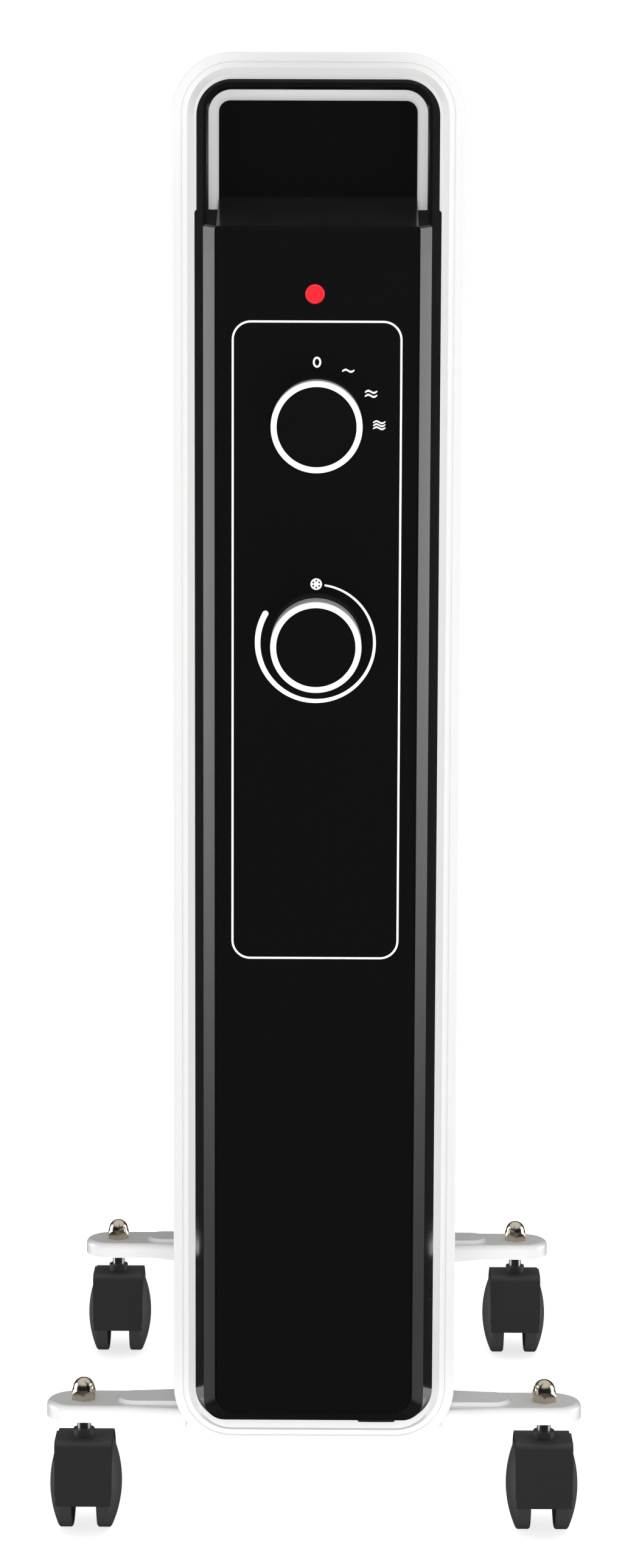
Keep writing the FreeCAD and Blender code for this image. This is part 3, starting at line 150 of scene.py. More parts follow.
# ---------------------------------------------------------------- node helpers
def put(tree, kind, x, y, **inputs):
    node = tree.nodes.new(kind)
    node.location = (x, y)
    for name, value in inputs.items():
        node.inputs[name.replace("_", " ")].default_value = value
    return node


def maths(tree, operation, x, y):
    node = put(tree, "ShaderNodeMath", x, y)
    node.operation = operation
    return node


def join(tree, source, output, target, into):
    tree.links.new(source.outputs[output], target.inputs[into])


def new_group(name, inputs, outputs):
    """Empty shader group with its sockets: inputs as (name, default), outputs as (name, kind)."""
    tree = bpy.data.node_groups.new(name, "ShaderNodeTree")
    for label, default in inputs:
        socket = tree.interface.new_socket(label, in_out="INPUT", socket_type="NodeSocketFloat")
        socket.default_value = default
    for label, kind in outputs:
        tree.interface.new_socket(label, in_out="OUTPUT", socket_type=kind)
    return tree, put(tree, "NodeGroupInput", -900, 0), put(tree, "NodeGroupOutput", 500, 0)


def noise(tree, x, y, detail, rough):
    node = put(tree, "ShaderNodeTexNoise", x, y, Detail=detail, Roughness=rough)
    node.noise_dimensions = "3D"
    return node


def ripple_group():
    """Soft surface waviness of sprayed enamel or a polished moulding."""
    tree, given, result = new_group("Surface ripple", [("Scale", 300.0), ("Fine", 0.2)],
                                    [("Height", "NodeSocketFloat")])
    place = put(tree, "ShaderNodeTexCoord", -700, 0)
    broad = noise(tree, -450, 100, 1.0, 0.4)
    fine = noise(tree, -450, -150, 2.0, 0.5)
    finer = maths(tree, "MULTIPLY", -650, -250)
    finer.inputs[1].default_value = 5.3
    mix = maths(tree, "MULTIPLY_ADD", -100, 0)
    join(tree, place, "Object", broad, "Vector")
    join(tree, place, "Object", fine, "Vector")
    join(tree, given, "Scale", broad, "Scale")
    join(tree, given, "Scale", finer, 0)
    join(tree, finer, 0, fine, "Scale")
    join(tree, fine, 0, mix, 0)
    join(tree, given, "Fine", mix, 1)
    join(tree, broad, 0, mix, 2)
    join(tree, mix, 0, result, "Height")
    return tree


def grain_group():
    """Fine eroded grain of an untreated moulding."""
    tree, given, result = new_group("Moulded grain", [("Scale", 2500.0)], [("Height", "NodeSocketFloat")])
    place = put(tree, "ShaderNodeTexCoord", -700, 0)
    cells = put(tree, "ShaderNodeTexVoronoi", -450, 100)
    cells.feature = "SMOOTH_F1"
    grain = noise(tree, -450, -150, 3.0, 0.6)
    mix = maths(tree, "ADD", -100, 0)
    join(tree, place, "Object", cells, "Vector")
    join(tree, place, "Object", grain, "Vector")
    join(tree, given, "Scale", cells, "Scale")
    join(tree, given, "Scale", grain, "Scale")
    join(tree, cells, "Distance", mix, 0)
    join(tree, grain, 0, mix, 1)
    join(tree, mix, 0, result, "Height")
    return tree


def handling_group():
    """Roughness that varies as a wiped and handled surface does."""
    tree, given, result = new_group("Handled gloss", [("Roughness", 0.3), ("Spread", 0.05), ("Scale", 40.0)],
                                    [("Roughness", "NodeSocketFloat")])
    place = put(tree, "ShaderNodeTexCoord", -900, -200)
    cloud = noise(tree, -600, 100, 4.0, 0.6)
    shift = maths(tree, "SUBTRACT", -350, 0)
    shift.inputs[1].default_value = 0.5
    spread = maths(tree, "MULTIPLY_ADD", -100, 0)
    join(tree, place, "Object", cloud, "Vector")
    join(tree, given, "Scale", cloud, "Scale")
    join(tree, cloud, 0, shift, 0)
    join(tree, shift, 0, spread, 0)
    join(tree, given, "Spread", spread, 1)
    join(tree, given, "Roughness", spread, 2)
    join(tree, spread, 0, result, "Roughness")
    return tree


def dust_group():
    """Mask of the thin dust film that settles on faces turned upwards."""
    tree, given, result = new_group("Dust film", [("Amount", 0.2), ("Scale", 60.0)],
                                    [("Mask", "NodeSocketFloat")])
    shape = put(tree, "ShaderNodeNewGeometry", -700, 150)
    place = put(tree, "ShaderNodeTexCoord", -700, -150)
    parts = put(tree, "ShaderNodeSeparateXYZ", -500, 150)
    cloud = noise(tree, -500, -150, 5.0, 0.7)
    up = put(tree, "ShaderNodeMapRange", -300, 150)
    up.inputs["From Min"].default_value = 0.55
    up.inputs["From Max"].default_value = 1.0
    both = maths(tree, "MULTIPLY", -100, 50)
    share = maths(tree, "MULTIPLY", 100, 50)
    join(tree, shape, "Normal", parts, 0)
    join(tree, parts, "Z", up, 0)
    join(tree, place, "Object", cloud, "Vector")
    join(tree, given, "Scale", cloud, "Scale")
    join(tree, up, 0, both, 0)
    join(tree, cloud, 0, both, 1)
    join(tree, both, 0, share, 0)
    join(tree, given, "Amount", share, 1)
    join(tree, share, 0, result, "Mask")
    return tree


def lay_group():
    """Fine parallel lay of rolled, drawn or turned metal, stretched along one axis."""
    tree, given, result = new_group("Metal lay", [("Along X", 1.0), ("Along Y", 1.0), ("Along Z", 1.0)],
                                    [("Height", "NodeSocketFloat")])
    place = put(tree, "ShaderNodeTexCoord", -900, 200)
    scale = put(tree, "ShaderNodeCombineXYZ", -700, 0)
    stretch = put(tree, "ShaderNodeVectorMath", -500, 100)
    stretch.operation = "MULTIPLY"
    lines = noise(tree, -250, 100, 4.0, 0.7)
    lines.inputs["Scale"].default_value = 1000.0
    join(tree, given, "Along X", scale, "X")
    join(tree, given, "Along Y", scale, "Y")
    join(tree, given, "Along Z", scale, "Z")
    join(tree, place, "Object", stretch, 0)
    join(tree, scale, 0, stretch, 1)
    join(tree, stretch, 0, lines, "Vector")
    join(tree, lines, 0, result, "Height")
    return tree


GROUPS = {}


def group(tree, name, x, y, **inputs):
    makers = {"ripple": ripple_group, "grain": grain_group, "handling": handling_group,
              "dust": dust_group, "lay": lay_group}
    if name not in GROUPS:
        GROUPS[name] = makers[name]()
    node = put(tree, "ShaderNodeGroup", x, y)
    node.node_tree = GROUPS[name]
    for label, value in inputs.items():
        node.inputs[label.replace("_", " ")].default_value = value
    return node


def new_material(name, base, **sockets):
    """Principled material with constants on the shader's own sockets."""
    material = bpy.data.materials.new(name)
    material.use_nodes = True
    tree = material.node_tree
    shader = tree.nodes["Principled BSDF"]
    shader.inputs["Base Color"].default_value = (*base, 1.0)
    for label, value in sockets.items():
        shader.inputs[label.replace("_", " ")].default_value = value
    return material, tree, shader


def add_bump(tree, shader, source, strength, distance):
    bump = put(tree, "ShaderNodeBump", -250, -300, Strength=strength, Distance=distance)
    join(tree, source, "Height", bump, "Height")
    join(tree, bump, "Normal", shader, "Normal")


def add_roughness(tree, shader, roughness, spread, scale):
    worn = group(tree, "handling", -500, 100, Roughness=roughness, Spread=spread, Scale=scale)
    join(tree, worn, "Roughness", shader, "Roughness")


def matt_underside(tree, shader, amount):
    """Faces turned down keep the matt skin of the moulding."""
    worn = shader.inputs["Roughness"].links[0].from_node
    facing = put(tree, "ShaderNodeNewGeometry", -900, 150)
    parts = put(tree, "ShaderNodeSeparateXYZ", -750, 150)
    below = ramp(tree, -600, 200, -0.5, -0.1, amount, 0.0)
    total = put(tree, "ShaderNodeMath", -250, 150)
    join(tree, facing, "Normal", parts, 0)
    join(tree, parts, "Z", below, 0)
    join(tree, below, 0, total, 0)
    join(tree, worn, "Roughness", total, 1)
    join(tree, total, 0, shader, "Roughness")


def add_dust(tree, shader, base, dust, amount):
    film = group(tree, "dust", -700, 350, Amount=amount)
    mix = put(tree, "ShaderNodeMix", -400, 350)
    mix.data_type = "RGBA"
    mix.inputs[6].default_value = (*base, 1.0)
    mix.inputs[7].default_value = (*dust, 1.0)
    join(tree, film, "Mask", mix, 0)
    tree.links.new(mix.outputs[2], shader.inputs["Base Color"])


# ---------------------------------------------------------------- finishes
def enamel(name, base):
    material, tree, shader = new_material(name, base, Coat_Weight=0.35, Coat_Roughness=0.12)
    add_roughness(tree, shader, 0.34, 0.08, 25.0)
    add_bump(tree, shader, group(tree, "ripple", -700, -300, Scale=420.0, Fine=0.15), 0.06, 0.0004)
    add_dust(tree, shader, base, (0.62, 0.6, 0.57), 0.1)
    return material


def gloss_moulding(name, base, roughness, ripple, dust=0.05):
    material, tree, shader = new_material(name, base, IOR=1.49)
    add_roughness(tree, shader, roughness, 0.06, 30.0)
    matt_underside(tree, shader, 0.5)
    add_bump(tree, shader, group(tree, "ripple", -700, -300, Scale=60.0, Fine=0.05), ripple, 0.0006)
    add_dust(tree, shader, base, (0.35, 0.34, 0.33), dust)
    return material


def matt_moulding(name, base, roughness, grain_scale, grain):
    material, tree, shader = new_material(name, base, IOR=1.5)
    add_roughness(tree, shader, roughness, 0.14, 90.0)
    add_bump(tree, shader, group(tree, "grain", -700, -300, Scale=grain_scale), grain, 0.0002)
    add_dust(tree, shader, base, (0.3, 0.29, 0.28), 0.12)
    return material


def metal(name, base, roughness, lay, depth):
    material, tree, shader = new_material(name, base, Metallic=1.0)
    add_roughness(tree, shader, roughness, 0.12, 120.0)
    lines = group(tree, "lay", -700, -300, Along_X=lay[0], Along_Y=lay[1], Along_Z=lay[2])
    add_bump(tree, shader, lines, depth, 0.0001)
    return material


def lamp_glass(name, base):
    material, tree, shader = new_material(name, base, IOR=1.49, Coat_Weight=0.6, Coat_Roughness=0.05,
                                          Emission_Strength=0.28)
    shader.inputs["Emission Color"].default_value = (*base, 1.0)
    add_roughness(tree, shader, 0.2, 0.05, 200.0)
    add_bump(tree, shader, group(tree, "ripple", -700, -300, Scale=900.0, Fine=0.1), 0.05, 0.0002)
    return material


def printing_ink(name, base):
    material, tree, shader = new_material(name, base)
    add_roughness(tree, shader, 0.45, 0.1, 300.0)
    add_bump(tree, shader, group(tree, "grain", -700, -300, Scale=4000.0), 0.05, 0.00005)
    return material


MATERIALS = {}


def make_materials(finish):
    MATERIALS.update({
        "enamel": enamel("stove_enamel_white", finish.enamel),
        "cover": gloss_moulding("cover_black_gloss", finish.cover, 0.13, 0.05),
        "fascia": gloss_moulding("front_plate_black_gloss", finish.fascia, 0.1, 0.03),
        "knob": gloss_moulding("knob_black_gloss", finish.fascia, 0.16, 0.02),
        "ring": gloss_moulding("ring_white_gloss", finish.ring, 0.22, 0.02),
        "ink": printing_ink("printing_ink_white", finish.ink),
        "lamp": lamp_glass("lamp_red_lens", finish.lamp),
        "nylon": matt_moulding("caster_nylon_dark", finish.nylon, 0.48, 2600.0, 0.35),
        "wheel": matt_moulding("caster_wheel_dark", finish.tyre, 0.55, 1900.0, 0.4),
        "nickel": metal("nickel_plate", finish.nickel, 0.16, (0.3, 0.3, 3.0), 0.12),
        "zinc": metal("zinc_plate", finish.zinc, 0.3, (1.0, 1.0, 1.0), 0.2),
        "steel": metal("turned_steel", finish.steel, 0.25, (0.2, 0.2, 4.0), 0.2),
        "black_steel": metal("blackened_steel", (0.03, 0.03, 0.032), 0.35, (1.0, 1.0, 1.0), 0.1),
        "galvanised": metal("galvanised_sheet", (0.5, 0.51, 0.52), 0.4, (0.3, 1.0, 0.3), 0.3),
        "aluminium": metal("mill_aluminium", (0.75, 0.75, 0.76), 0.32, (4.0, 1.0, 0.1), 0.25),
        "tube": metal("annealed_tube", (0.2, 0.19, 0.18), 0.5, (3.0, 0.2, 3.0), 0.3),
        "switch": matt_moulding("switch_black", (0.02, 0.02, 0.022), 0.45, 3000.0, 0.2),
        "insulator": matt_moulding("insulator_cream", (0.7, 0.68, 0.6), 0.5, 3000.0, 0.2),
        "ceramic": matt_moulding("bead_ceramic", (0.78, 0.75, 0.7), 0.6, 5000.0, 0.3),
        "rubber": matt_moulding("seal_rubber_black", (0.015, 0.015, 0.015), 0.7, 3500.0, 0.3),
    })


def dress(material, *names):
    """Gives CAD nodes their finish in every material slot."""
    for name in names:
        node = frame["nodes"][name]
        if not node.material_slots:
            node.data.materials.append(MATERIALS[material])
        for place in node.material_slots:
            place.material = MATERIALS[material]


def nodes_named(start):
    return sorted(name for name in frame["nodes"] if name.startswith(start))


# ---------------------------------------------------------------- modelling helpers
def nothing_selected():
    if bpy.context.mode != "OBJECT":
        bpy.ops.object.mode_set(mode="OBJECT")
    bpy.ops.object.select_all(action="DESELECT")


def pick(test, kind="verts"):
    """Selects the vertices, edges or faces of the mesh in edit mode that satisfy the test."""
    mesh = bpy.context.edit_object.data
    bpy.ops.mesh.select_all(action="DESELECT")
    bpy.ops.mesh.select_mode(type={"verts": "VERT", "edges": "EDGE", "faces": "FACE"}[kind])
    shape = bmesh.from_edit_mesh(mesh)
    for element in getattr(shape, kind):
        if test(element):
            element.select_set(True)
    shape.select_flush_mode()
    bmesh.update_edit_mesh(mesh)


def activate(piece):
    nothing_selected()
    piece.select_set(True)
    bpy.context.view_layer.objects.active = piece


def edit_all():
    bpy.ops.object.mode_set(mode="EDIT")
    bpy.ops.mesh.select_all(action="SELECT")


def settle(name):
    """Names the active object and puts its place into its mesh."""
    if bpy.context.mode != "OBJECT":
        bpy.ops.object.mode_set(mode="OBJECT")
    piece = bpy.context.active_object
    piece.name = name
    piece.data.name = name
    bpy.ops.object.transform_apply(location=True, rotation=True, scale=True)
    return piece


def thicken(piece, sizes):
    """Turns a flat print that faces the front into a closed film keyed in the plate."""
    edit_all()
    bpy.ops.mesh.normals_make_consistent(inside=False)
    shape = bmesh.from_edit_mesh(piece.data)
    if sum(face.normal.y * face.calc_area() for face in shape.faces) > 0:
        bpy.ops.mesh.flip_normals()
    bpy.ops.object.mode_set(mode="OBJECT")
    solidify(piece, sizes.ink + sizes.key)


def solidify(piece, thickness):
    wall = piece.modifiers.new("wall", "SOLIDIFY")
    wall.thickness = thickness
    wall.offset = 1.0
    bpy.ops.object.modifier_apply(modifier=wall.name)


def combine(piece, other, operation):
    """Boolean with another closed piece, which is used up."""
    activate(piece)
    change = piece.modifiers.new("combine", "BOOLEAN")
    change.operation = operation
    change.solver = "EXACT"
    change.object = other
    bpy.ops.object.modifier_apply(modifier=change.name)
    bpy.data.objects.remove(other)


def hand_over(piece, material, body=BODY):
    piece.data.materials.clear()
    piece.data.materials.append(MATERIALS[material])
    nothing_selected()
    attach(piece, body)


def merge(pieces, name):
    """Joins like pieces into one object."""
    nothing_selected()
    for piece in pieces:
        piece.select_set(True)
    bpy.context.view_layer.objects.active = pieces[0]
    if len(pieces) > 1:
        bpy.ops.object.join()
    return settle(name)


def flat_disc(centre, half_w, half_h, corners, sizes):
    """Filled ellipse in the plane of the front plate, still in object mode."""
    nothing_selected()
    bpy.ops.mesh.primitive_circle_add(vertices=corners, radius=1.0, fill_type="NGON",
                                      location=(centre[0], FRONT_Y + sizes.key, centre[1]),
                                      rotation=FACING_FRONT)
    bpy.context.active_object.scale = (half_w, half_h, 1.0)
    return settle("disc")


# ---------------------------------------------------------------- softened mouldings
def softened_copy(name, lines, radius):
    """Copy of a CAD moulding whose sharp front lines get a small moulded radius."""
    nothing_selected()
    source = frame["nodes"][name]
    piece = source.copy()
    piece.data = source.data.copy()
    piece.name = name + "_moulding"
    bpy.context.scene.collection.objects.link(piece)
    piece.select_set(True)
    bpy.context.view_layer.objects.active = piece
    edit_all()
    bpy.ops.mesh.remove_doubles(threshold=WELD_DISTANCE)
    bpy.ops.mesh.dissolve_limited(angle_limit=math.radians(0.6))
    pick(lambda edge: len(edge.link_faces) == 2 and lines(edge) and edge.calc_face_angle() > SHARP_EDGE,
         "edges")
    bpy.ops.mesh.bevel(offset=radius, segments=4, profile=0.5, affect="EDGES", clamp_overlap=True)
    bpy.ops.object.mode_set(mode="OBJECT")
    bpy.ops.object.shade_smooth_by_angle(angle=math.radians(28))
    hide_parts(name)
    return piece


def on_shoulder(edge):
    """Line where the cover's drafted side wall meets its front bevel."""
    places = [vertex.co for vertex in edge.verts]
    level = all(abs(place.y - SHOULDER_Y) < SHOULDER_TOLERANCE for place in places)
    widest = max(abs(place.x) for place in places)
    return level and (widest > SHOULDER_HALF_W or min(place.z for place in places) < SHOULDER_BOTTOM_Z)


# ---------------------------------------------------------------- printed marks
def print_outline(sizes):
    nothing_selected()
    middle = (sizes.outline_top + sizes.outline_bottom) / 2
    bpy.ops.mesh.primitive_plane_add(size=1.0, location=(0.0, FRONT_Y + sizes.key, middle),
                                     rotation=FACING_FRONT)
    bpy.context.active_object.scale = (sizes.outline_width, sizes.outline_top - sizes.outline_bottom, 1.0)
    piece = settle("printed_outline")
    edit_all()
    bpy.ops.mesh.bevel(offset=sizes.outline_corner, segments=12, affect="VERTICES")
    bpy.ops.mesh.select_all(action="SELECT")
    bpy.ops.mesh.inset(thickness=sizes.outline_line, depth=0.0)
    bpy.ops.mesh.delete(type="FACE")
    thicken(piece, sizes)
    return piece


def zero_mark(centre, sizes):
    piece = flat_disc(centre, sizes.zero_width / 2, sizes.zero_height / 2, 40, sizes)
    edit_all()
    bpy.ops.mesh.inset(thickness=sizes.stroke, depth=0.0)
    bpy.ops.mesh.delete(type="FACE")
    thicken(piece, sizes)
    return piece


def wave_mark(centre, stroke, sizes):
    """One heat wave: a straight bar pushed up and down column by column."""
    steps = 28
    nothing_selected()
    bpy.ops.mesh.primitive_grid_add(x_subdivisions=steps, y_subdivisions=1, size=1.0,
                                    location=(centre[0], FRONT_Y + sizes.key, centre[1]),
                                    rotation=FACING_FRONT)
    bpy.context.active_object.scale = (sizes.wave_length, stroke, 1.0)
    piece = settle("wave")
    left = centre[0] - sizes.wave_length / 2
    bpy.ops.object.mode_set(mode="EDIT")
    for i in range(steps + 1):
        x = left + sizes.wave_length * i / steps
        phase = 2 * math.pi * (1.16 * i / steps - 0.08)
        pick(lambda vertex: abs(vertex.co.x - x) < sizes.wave_length / steps / 3)
        bpy.ops.transform.translate(value=(0.0, 0.0, sizes.wave_height * math.sin(phase)))
        end = min(i, steps - i)
        if end < 3:
            squeeze = (0.45, 0.78, 0.94)[end]
            bpy.ops.transform.resize(value=(1.0, 1.0, squeeze))
    bpy.ops.object.mode_set(mode="OBJECT")
    thicken(piece, sizes)
    return piece


def around(centre, radius, clock):
    """Point on the front plate at a clock angle in degrees, 0 at the top and clockwise."""
    turn = math.radians(clock)
    return centre.x + radius * math.sin(turn), centre.z + radius * math.cos(turn)


def print_power_marks(sizes):
    pieces = [zero_mark(around(POWER_CENTRE, sizes.mark_radius, 0), sizes)]
    spacings = {1: (0.0,), 2: (-0.8 * MM, 0.8 * MM), 3: (-1.2 * MM, 0.0, 1.2 * MM)}
    for count, clock in ((1, 30), (2, 60), (3, 90)):
        x, z = around(POWER_CENTRE, sizes.mark_radius, clock)
        stroke = sizes.stroke if count < 3 else sizes.stroke * 0.86
        for rise in spacings[count]:
            pieces.append(wave_mark((x, z + rise), stroke, sizes))
    return merge(pieces, "printed_power_marks")


def print_scale(sizes, start_clock=9.0, end_clock=300.0, steps=120):
    """Tapered scale: one radial edge spun round the knob's axis, widened column by column, round ends."""
    nothing_selected()
    y = FRONT_Y + sizes.key
    bpy.ops.mesh.primitive_plane_add(size=1.0, location=(0.0, y, 0.0), rotation=FACING_FRONT)
    piece = settle("printed_thermostat_scale")
    bpy.ops.object.mode_set(mode="EDIT")
    pick(lambda vertex: vertex.co.x > 0)
    bpy.ops.mesh.delete(type="VERT")
    bpy.ops.mesh.select_all(action="SELECT")
    bpy.ops.transform.resize(value=(1.0, 1.0, sizes.scale_start))
    x, z = around(THERMOSTAT_CENTRE, sizes.scale_radius, start_clock)
    bpy.ops.transform.translate(value=(x + 0.5, 0.0, z))
    bpy.ops.transform.rotate(value=-math.radians(start_clock), orient_axis="Y", center_override=(x, y, z))
    sweep = end_clock - start_clock
    bpy.ops.mesh.select_all(action="SELECT")
    bpy.ops.mesh.spin(steps=steps, angle=-math.radians(sweep), axis=(0.0, 1.0, 0.0),
                      center=(THERMOSTAT_CENTRE.x, y, THERMOSTAT_CENTRE.z))
    for i in range(steps + 1):
        x, z = around(THERMOSTAT_CENTRE, sizes.scale_radius, start_clock + sweep * i / steps)
        point = Vector((x, y, z))
        width = sizes.scale_start + (sizes.scale_end - sizes.scale_start) * (i / steps) ** 1.3
        pick(lambda vertex: (vertex.co - point).length < sizes.scale_start * 0.55)
        bpy.ops.transform.resize(value=(width / sizes.scale_start,) * 3, center_override=point)
    bpy.ops.object.mode_set(mode="OBJECT")
    thicken(piece, sizes)
    caps = [flat_disc(around(THERMOSTAT_CENTRE, sizes.scale_radius, clock), width / 2, width / 2, 32, sizes)
            for clock, width in ((start_clock, sizes.scale_start), (end_clock, sizes.scale_end))]
    for cap in caps:
        activate(cap)
        thicken(cap, sizes)
    for cap in caps:
        combine(piece, cap, "UNION")
    return piece


def frost_mark(sizes):
    """Disc with a centre star left between six round holes."""
    x, z = around(THERMOSTAT_CENTRE, sizes.scale_radius + 0.2 * MM, 0)
    disc = flat_disc((x, z), sizes.frost_radius, sizes.frost_radius, 48, sizes)
    thicken(disc, sizes)
    disc.name = "printed_frost_mark"
    for i in range(6):
        turn = math.radians(60 * i)
        hole = flat_disc((x + FROST_RING_R * math.sin(turn), z + FROST_RING_R * math.cos(turn)),
                         FROST_HOLE_R, FROST_HOLE_R, 16, sizes)
        edit_all()
        bpy.ops.transform.translate(value=(0.0, MM, 0.0))
        bpy.ops.object.mode_set(mode="OBJECT")
        solidify(hole, 2 * MM)
        combine(disc, hole, "DIFFERENCE")
    return disc


# ---------------------------------------------------------------- operators
class RADIATOR_OT_finishes(bpy.types.Operator):
    """Make the finishes of all pieces"""
    bl_idname = "radiator.finishes"
    bl_label = "Finishes"

    def execute(self, context):
        make_materials(context.scene.radiator_finish)
        return {"FINISHED"}


class RADIATOR_OT_fins(bpy.types.Operator):
    """Enamel the fins, their hub rings and the feet"""
    bl_idname = "radiator.fins"
    bl_label = "Fins and feet"

    def execute(self, context):
        dress("enamel", *nodes_named("fin_"), *nodes_named("hub_rings"), "front_foot", "rear_foot")
        for name in nodes_named("fin_"):
            frame["nodes"][name].visible_glossy = False
        dress("zinc", "oil_filler_plug")
        return {"FINISHED"}


class RADIATOR_OT_cover(bpy.types.Operator):
    """Finish the control cover, the carry loop, the front plate and the lamp"""
    bl_idname = "radiator.cover"
    bl_label = "Control cover"

    def execute(self, context):
        dress("cover", "control_cover", *nodes_named("carry_loop"))
        dress("fascia", "fascia")
        dress("lamp", "lamp_lens")
        hand_over(softened_copy("control_cover", on_shoulder, SHOULDER_RADIUS), "cover")
        dress("rubber", "cord_gland")
        dress("black_steel", "cover_screws")
        return {"FINISHED"}


class RADIATOR_OT_knobs(bpy.types.Operator):
    """Finish both knobs, their rings and shafts"""
    bl_idname = "radiator.knobs"
    bl_label = "Knobs"

    def execute(self, context):
        dress("knob", "power_knob", "thermostat_knob")
        dress("ring", "power_knob_ring", "thermostat_knob_ring")
        dress("steel", "power_shaft", "thermostat_shaft")
        return {"FINISHED"}


class RADIATOR_OT_casters(bpy.types.Operator):
    """Finish the casters, their stems and the cap nuts"""
    bl_idname = "radiator.casters"
    bl_label = "Casters"

    def execute(self, context):
        dress("nylon", *nodes_named("caster_hood"))
        dress("wheel", *nodes_named("wheel_"))
        dress("steel", *nodes_named("caster_axle"), "caster_stems")
        dress("nickel", "cap_nuts")
        dress("zinc", "u_bolts", "u_bolt_washers", "wing_nuts")
        return {"FINISHED"}


class RADIATOR_OT_inside(bpy.types.Operator):
    """Finish what the control cover and the oil space hold"""
    bl_idname = "radiator.inside"
    bl_label = "Inside"

    def execute(self, context):
        dress("galvanised", "mounting_plate", "shield_spacers")
        dress("aluminium", "heat_shield")
        dress("switch", "power_switch", "thermostat", "tip_over_switch", "thermal_cutout")
        dress("steel", "tip_pendulum")
        dress("insulator", "lamp_holder", "terminal_block")
        dress("zinc", "element_flange")
        dress("rubber", "element_gasket")
        dress("tube", "heating_tubes")
        dress("ceramic", "element_terminals")
        return {"FINISHED"}


class RADIATOR_OT_outline(bpy.types.Operator):
    """Print the rounded outline on the front plate"""
    bl_idname = "radiator.outline"
    bl_label = "Printed outline"

    def execute(self, context):
        hand_over(print_outline(context.scene.radiator_print), "ink")
        return {"FINISHED"}


class RADIATOR_OT_power_marks(bpy.types.Operator):
    """Print the zero and the three heat marks round the power knob"""
    bl_idname = "radiator.power_marks"
    bl_label = "Power marks"

    def execute(self, context):
        hand_over(print_power_marks(context.scene.radiator_print), "ink")
        return {"FINISHED"}


class RADIATOR_OT_scale(bpy.types.Operator):
    """Print the tapered scale and the frost mark round the thermostat knob"""
    bl_idname = "radiator.scale"
    bl_label = "Thermostat scale"

    def execute(self, context):
        sizes = context.scene.radiator_print
        hand_over(print_scale(sizes), "ink")
        hand_over(frost_mark(sizes), "ink")
        return {"FINISHED"}


class RADIATOR_OT_stage(bpy.types.Operator):
    """Make the floor, the light and the camera"""
    bl_idname = "radiator.stage"
    bl_label = "Stage"

    def execute(self, context):
        stage = context.scene.radiator_stage
        make_floor(stage)
        make_world()
        make_lights()
        make_camera(stage)
        context.scene.view_settings.view_transform = "Standard"
        return {"FINISHED"}


# ---------------------------------------------------------------- stage
def make_floor(stage):
    """Wide sheet of lit paper whose far edge runs out into the white room."""
    nothing_selected()
    bpy.ops.mesh.primitive_circle_add(vertices=96, radius=stage.floor_radius, fill_type="NGON",
                                      location=(0.0, 0.0, FLOOR_Z - FLOOR_GAP))
    floor = settle("studio_floor")
    edit_all()
    bpy.ops.mesh.inset(thickness=stage.floor_radius * 0.9, depth=0.0)
    bpy.ops.object.mode_set(mode="OBJECT")
    material, tree, shader = new_material("studio_paper", stage.floor, Emission_Strength=0.74)
    shader.inputs["Emission Color"].default_value = (*stage.floor, 1.0)
    add_roughness(tree, shader, 0.8, 0.05, 3.0)
    floor.data.materials.append(material)
    floor.visible_glossy = False


def make_world():
    """White room for the eye and for soft light; reflections see it dark in front, bright at both sides."""
    world = bpy.data.worlds.new("studio_room")
    world.use_nodes = True
    world.cycles.sampling_method = "NONE"
    tree = world.node_tree
    back = tree.nodes["Background"]
    place = put(tree, "ShaderNodeTexCoord", -1300, 0)
    parts = put(tree, "ShaderNodeSeparateXYZ", -1100, 0)
    sideways = maths(tree, "ABSOLUTE", -900, 200)
    band = ramp(tree, -700, 200, 0.80, 0.93, 0.0, 1.0)
    height = ramp(tree, -700, -50, -0.30, -0.08, 0.75, 4.1)
    boxes = maths(tree, "MULTIPLY", -450, 100)
    front_edge = ramp(tree, -900, -450, -0.26, -0.12, 0.0, 1.0)
    banked = maths(tree, "MULTIPLY", -550, 250)
    overhead = ramp(tree, -700, -300, 0.35, 0.8, 0.02, 0.8)
    gloss = maths(tree, "MAXIMUM", -250, 0)
    path = put(tree, "ShaderNodeLightPath", -450, 400)
    soft = put(tree, "ShaderNodeMapRange", -250, 300)
    soft.inputs["To Min"].default_value = 0.42
    soft.inputs["To Max"].default_value = 1.0
    choice = put(tree, "ShaderNodeMix", -50, 100)
    join(tree, place, "Generated", parts, 0)
    join(tree, parts, "X", sideways, 0)
    join(tree, sideways, 0, band, 0)
    join(tree, parts, "Z", height, 0)
    join(tree, parts, "Z", overhead, 0)
    join(tree, parts, "Y", front_edge, 0)
    join(tree, band, 0, banked, 0)
    join(tree, front_edge, 0, banked, 1)
    join(tree, banked, 0, boxes, 0)
    join(tree, height, 0, boxes, 1)
    join(tree, boxes, 0, gloss, 0)
    join(tree, overhead, 0, gloss, 1)
    join(tree, path, "Is Camera Ray", soft, 0)
    join(tree, path, "Is Glossy Ray", choice, 0)
    join(tree, soft, 0, choice, 2)
    join(tree, gloss, 0, choice, 3)
    join(tree, choice, 0, back, "Strength")
    back.inputs["Color"].default_value = (1.0, 1.0, 1.0, 1.0)
    bpy.context.scene.world = world


def ramp(tree, x, y, low, high, at_low, at_high):
    """Smooth step from one value to another."""
    node = put(tree, "ShaderNodeMapRange", x, y)
    node.interpolation_type = "SMOOTHSTEP"
    for label, value in (("From Min", low), ("From Max", high), ("To Min", at_low), ("To Max", at_high)):
        node.inputs[label].default_value = value
    return node


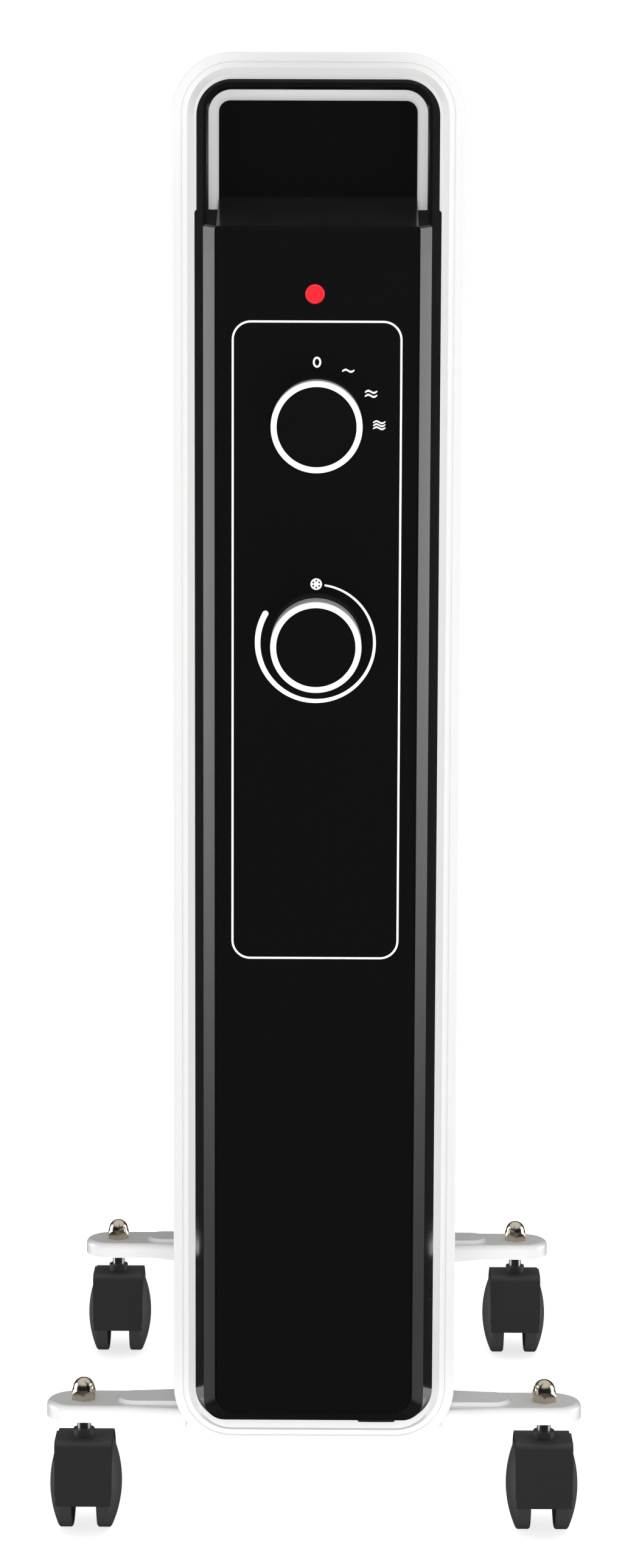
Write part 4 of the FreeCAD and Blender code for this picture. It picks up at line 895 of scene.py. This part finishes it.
def soft_light(name, place, target, size, power):
    """Area light that black mouldings do not mirror."""
    data = bpy.data.lights.new(name, "AREA")
    data.shape = "RECTANGLE"
    data.size = data.size_y = size
    data.energy = power
    lamp = bpy.data.objects.new(name, data)
    lamp.location = place
    lamp.rotation_euler = (Vector(target) - Vector(place)).to_track_quat("-Z", "Y").to_euler()
    lamp.visible_glossy = False
    bpy.context.scene.collection.objects.link(lamp)


def make_lights():
    soft_light("front_fill", (0.0, -1.9, 0.56), (0.0, 0.0, 0.33), 0.35, 15.4)
    soft_light("top_fill", (0.35, -0.5, 2.3), (0.0, 0.0, 0.3), 1.2, 8.0)


def make_camera(stage):
    """Camera low in front, a little to the right and tilted down."""
    pitch, yaw, roll = (math.radians(angle) for angle in CAMERA_TURN)
    forward = Vector((math.sin(yaw) * math.cos(pitch), math.cos(yaw) * math.cos(pitch), -math.sin(pitch)))
    level = Vector((math.cos(yaw), -math.sin(yaw), 0.0))
    upright = level.cross(forward)
    right = level * math.cos(roll) + upright * math.sin(roll)
    up = upright * math.cos(roll) - level * math.sin(roll)
    data = bpy.data.cameras.new("studio_camera")
    data.lens = stage.focal
    data.sensor_width = 36.0
    data.sensor_fit = "AUTO"
    data.clip_start, data.clip_end = 0.01, 50.0
    camera = bpy.data.objects.new("studio_camera", data)
    turn = Matrix((right, up, -forward)).transposed().to_4x4()
    camera.matrix_world = Matrix.Translation(CAMERA_PLACE) @ turn
    bpy.context.scene.collection.objects.link(camera)
    bpy.context.scene.camera = camera


# ---------------------------------------------------------------- panel and registration
STEPS = (
    ("finishes", RADIATOR_OT_finishes), ("fins", RADIATOR_OT_fins), ("cover", RADIATOR_OT_cover),
    ("knobs", RADIATOR_OT_knobs), ("casters", RADIATOR_OT_casters), ("inside", RADIATOR_OT_inside),
    ("outline", RADIATOR_OT_outline), ("power_marks", RADIATOR_OT_power_marks),
    ("scale", RADIATOR_OT_scale), ("stage", RADIATOR_OT_stage),
)


class RADIATOR_PT_panel(bpy.types.Panel):
    """Pieces and sizes of the radiator"""
    bl_idname = "RADIATOR_PT_panel"
    bl_label = "Oil Filled Radiator"
    bl_space_type = "VIEW_3D"
    bl_region_type = "UI"
    bl_category = "Radiator"

    def draw(self, context):
        layout = self.layout
        for settings in (context.scene.radiator_finish, context.scene.radiator_print,
                         context.scene.radiator_stage):
            box = layout.box()
            for name in settings.__annotations__:
                box.prop(settings, name)
        for _, operator in STEPS:
            layout.operator(operator.bl_idname)


SETTINGS = (("radiator_print", RadiatorPrintSettings), ("radiator_finish", RadiatorFinishSettings),
            ("radiator_stage", RadiatorStageSettings))


def register():
    for name, settings in SETTINGS:
        bpy.utils.register_class(settings)
        setattr(bpy.types.Scene, name, bpy.props.PointerProperty(type=settings))
    for _, operator in STEPS:
        bpy.utils.register_class(operator)
    bpy.utils.register_class(RADIATOR_PT_panel)


def unregister():
    bpy.utils.unregister_class(RADIATOR_PT_panel)
    for _, operator in reversed(STEPS):
        bpy.utils.unregister_class(operator)
    for name, settings in reversed(SETTINGS):
        delattr(bpy.types.Scene, name)
        bpy.utils.unregister_class(settings)


def main():
    register()
    for name, _ in STEPS:
        getattr(bpy.ops.radiator, name)()


if __name__ == "__main__":
    main()
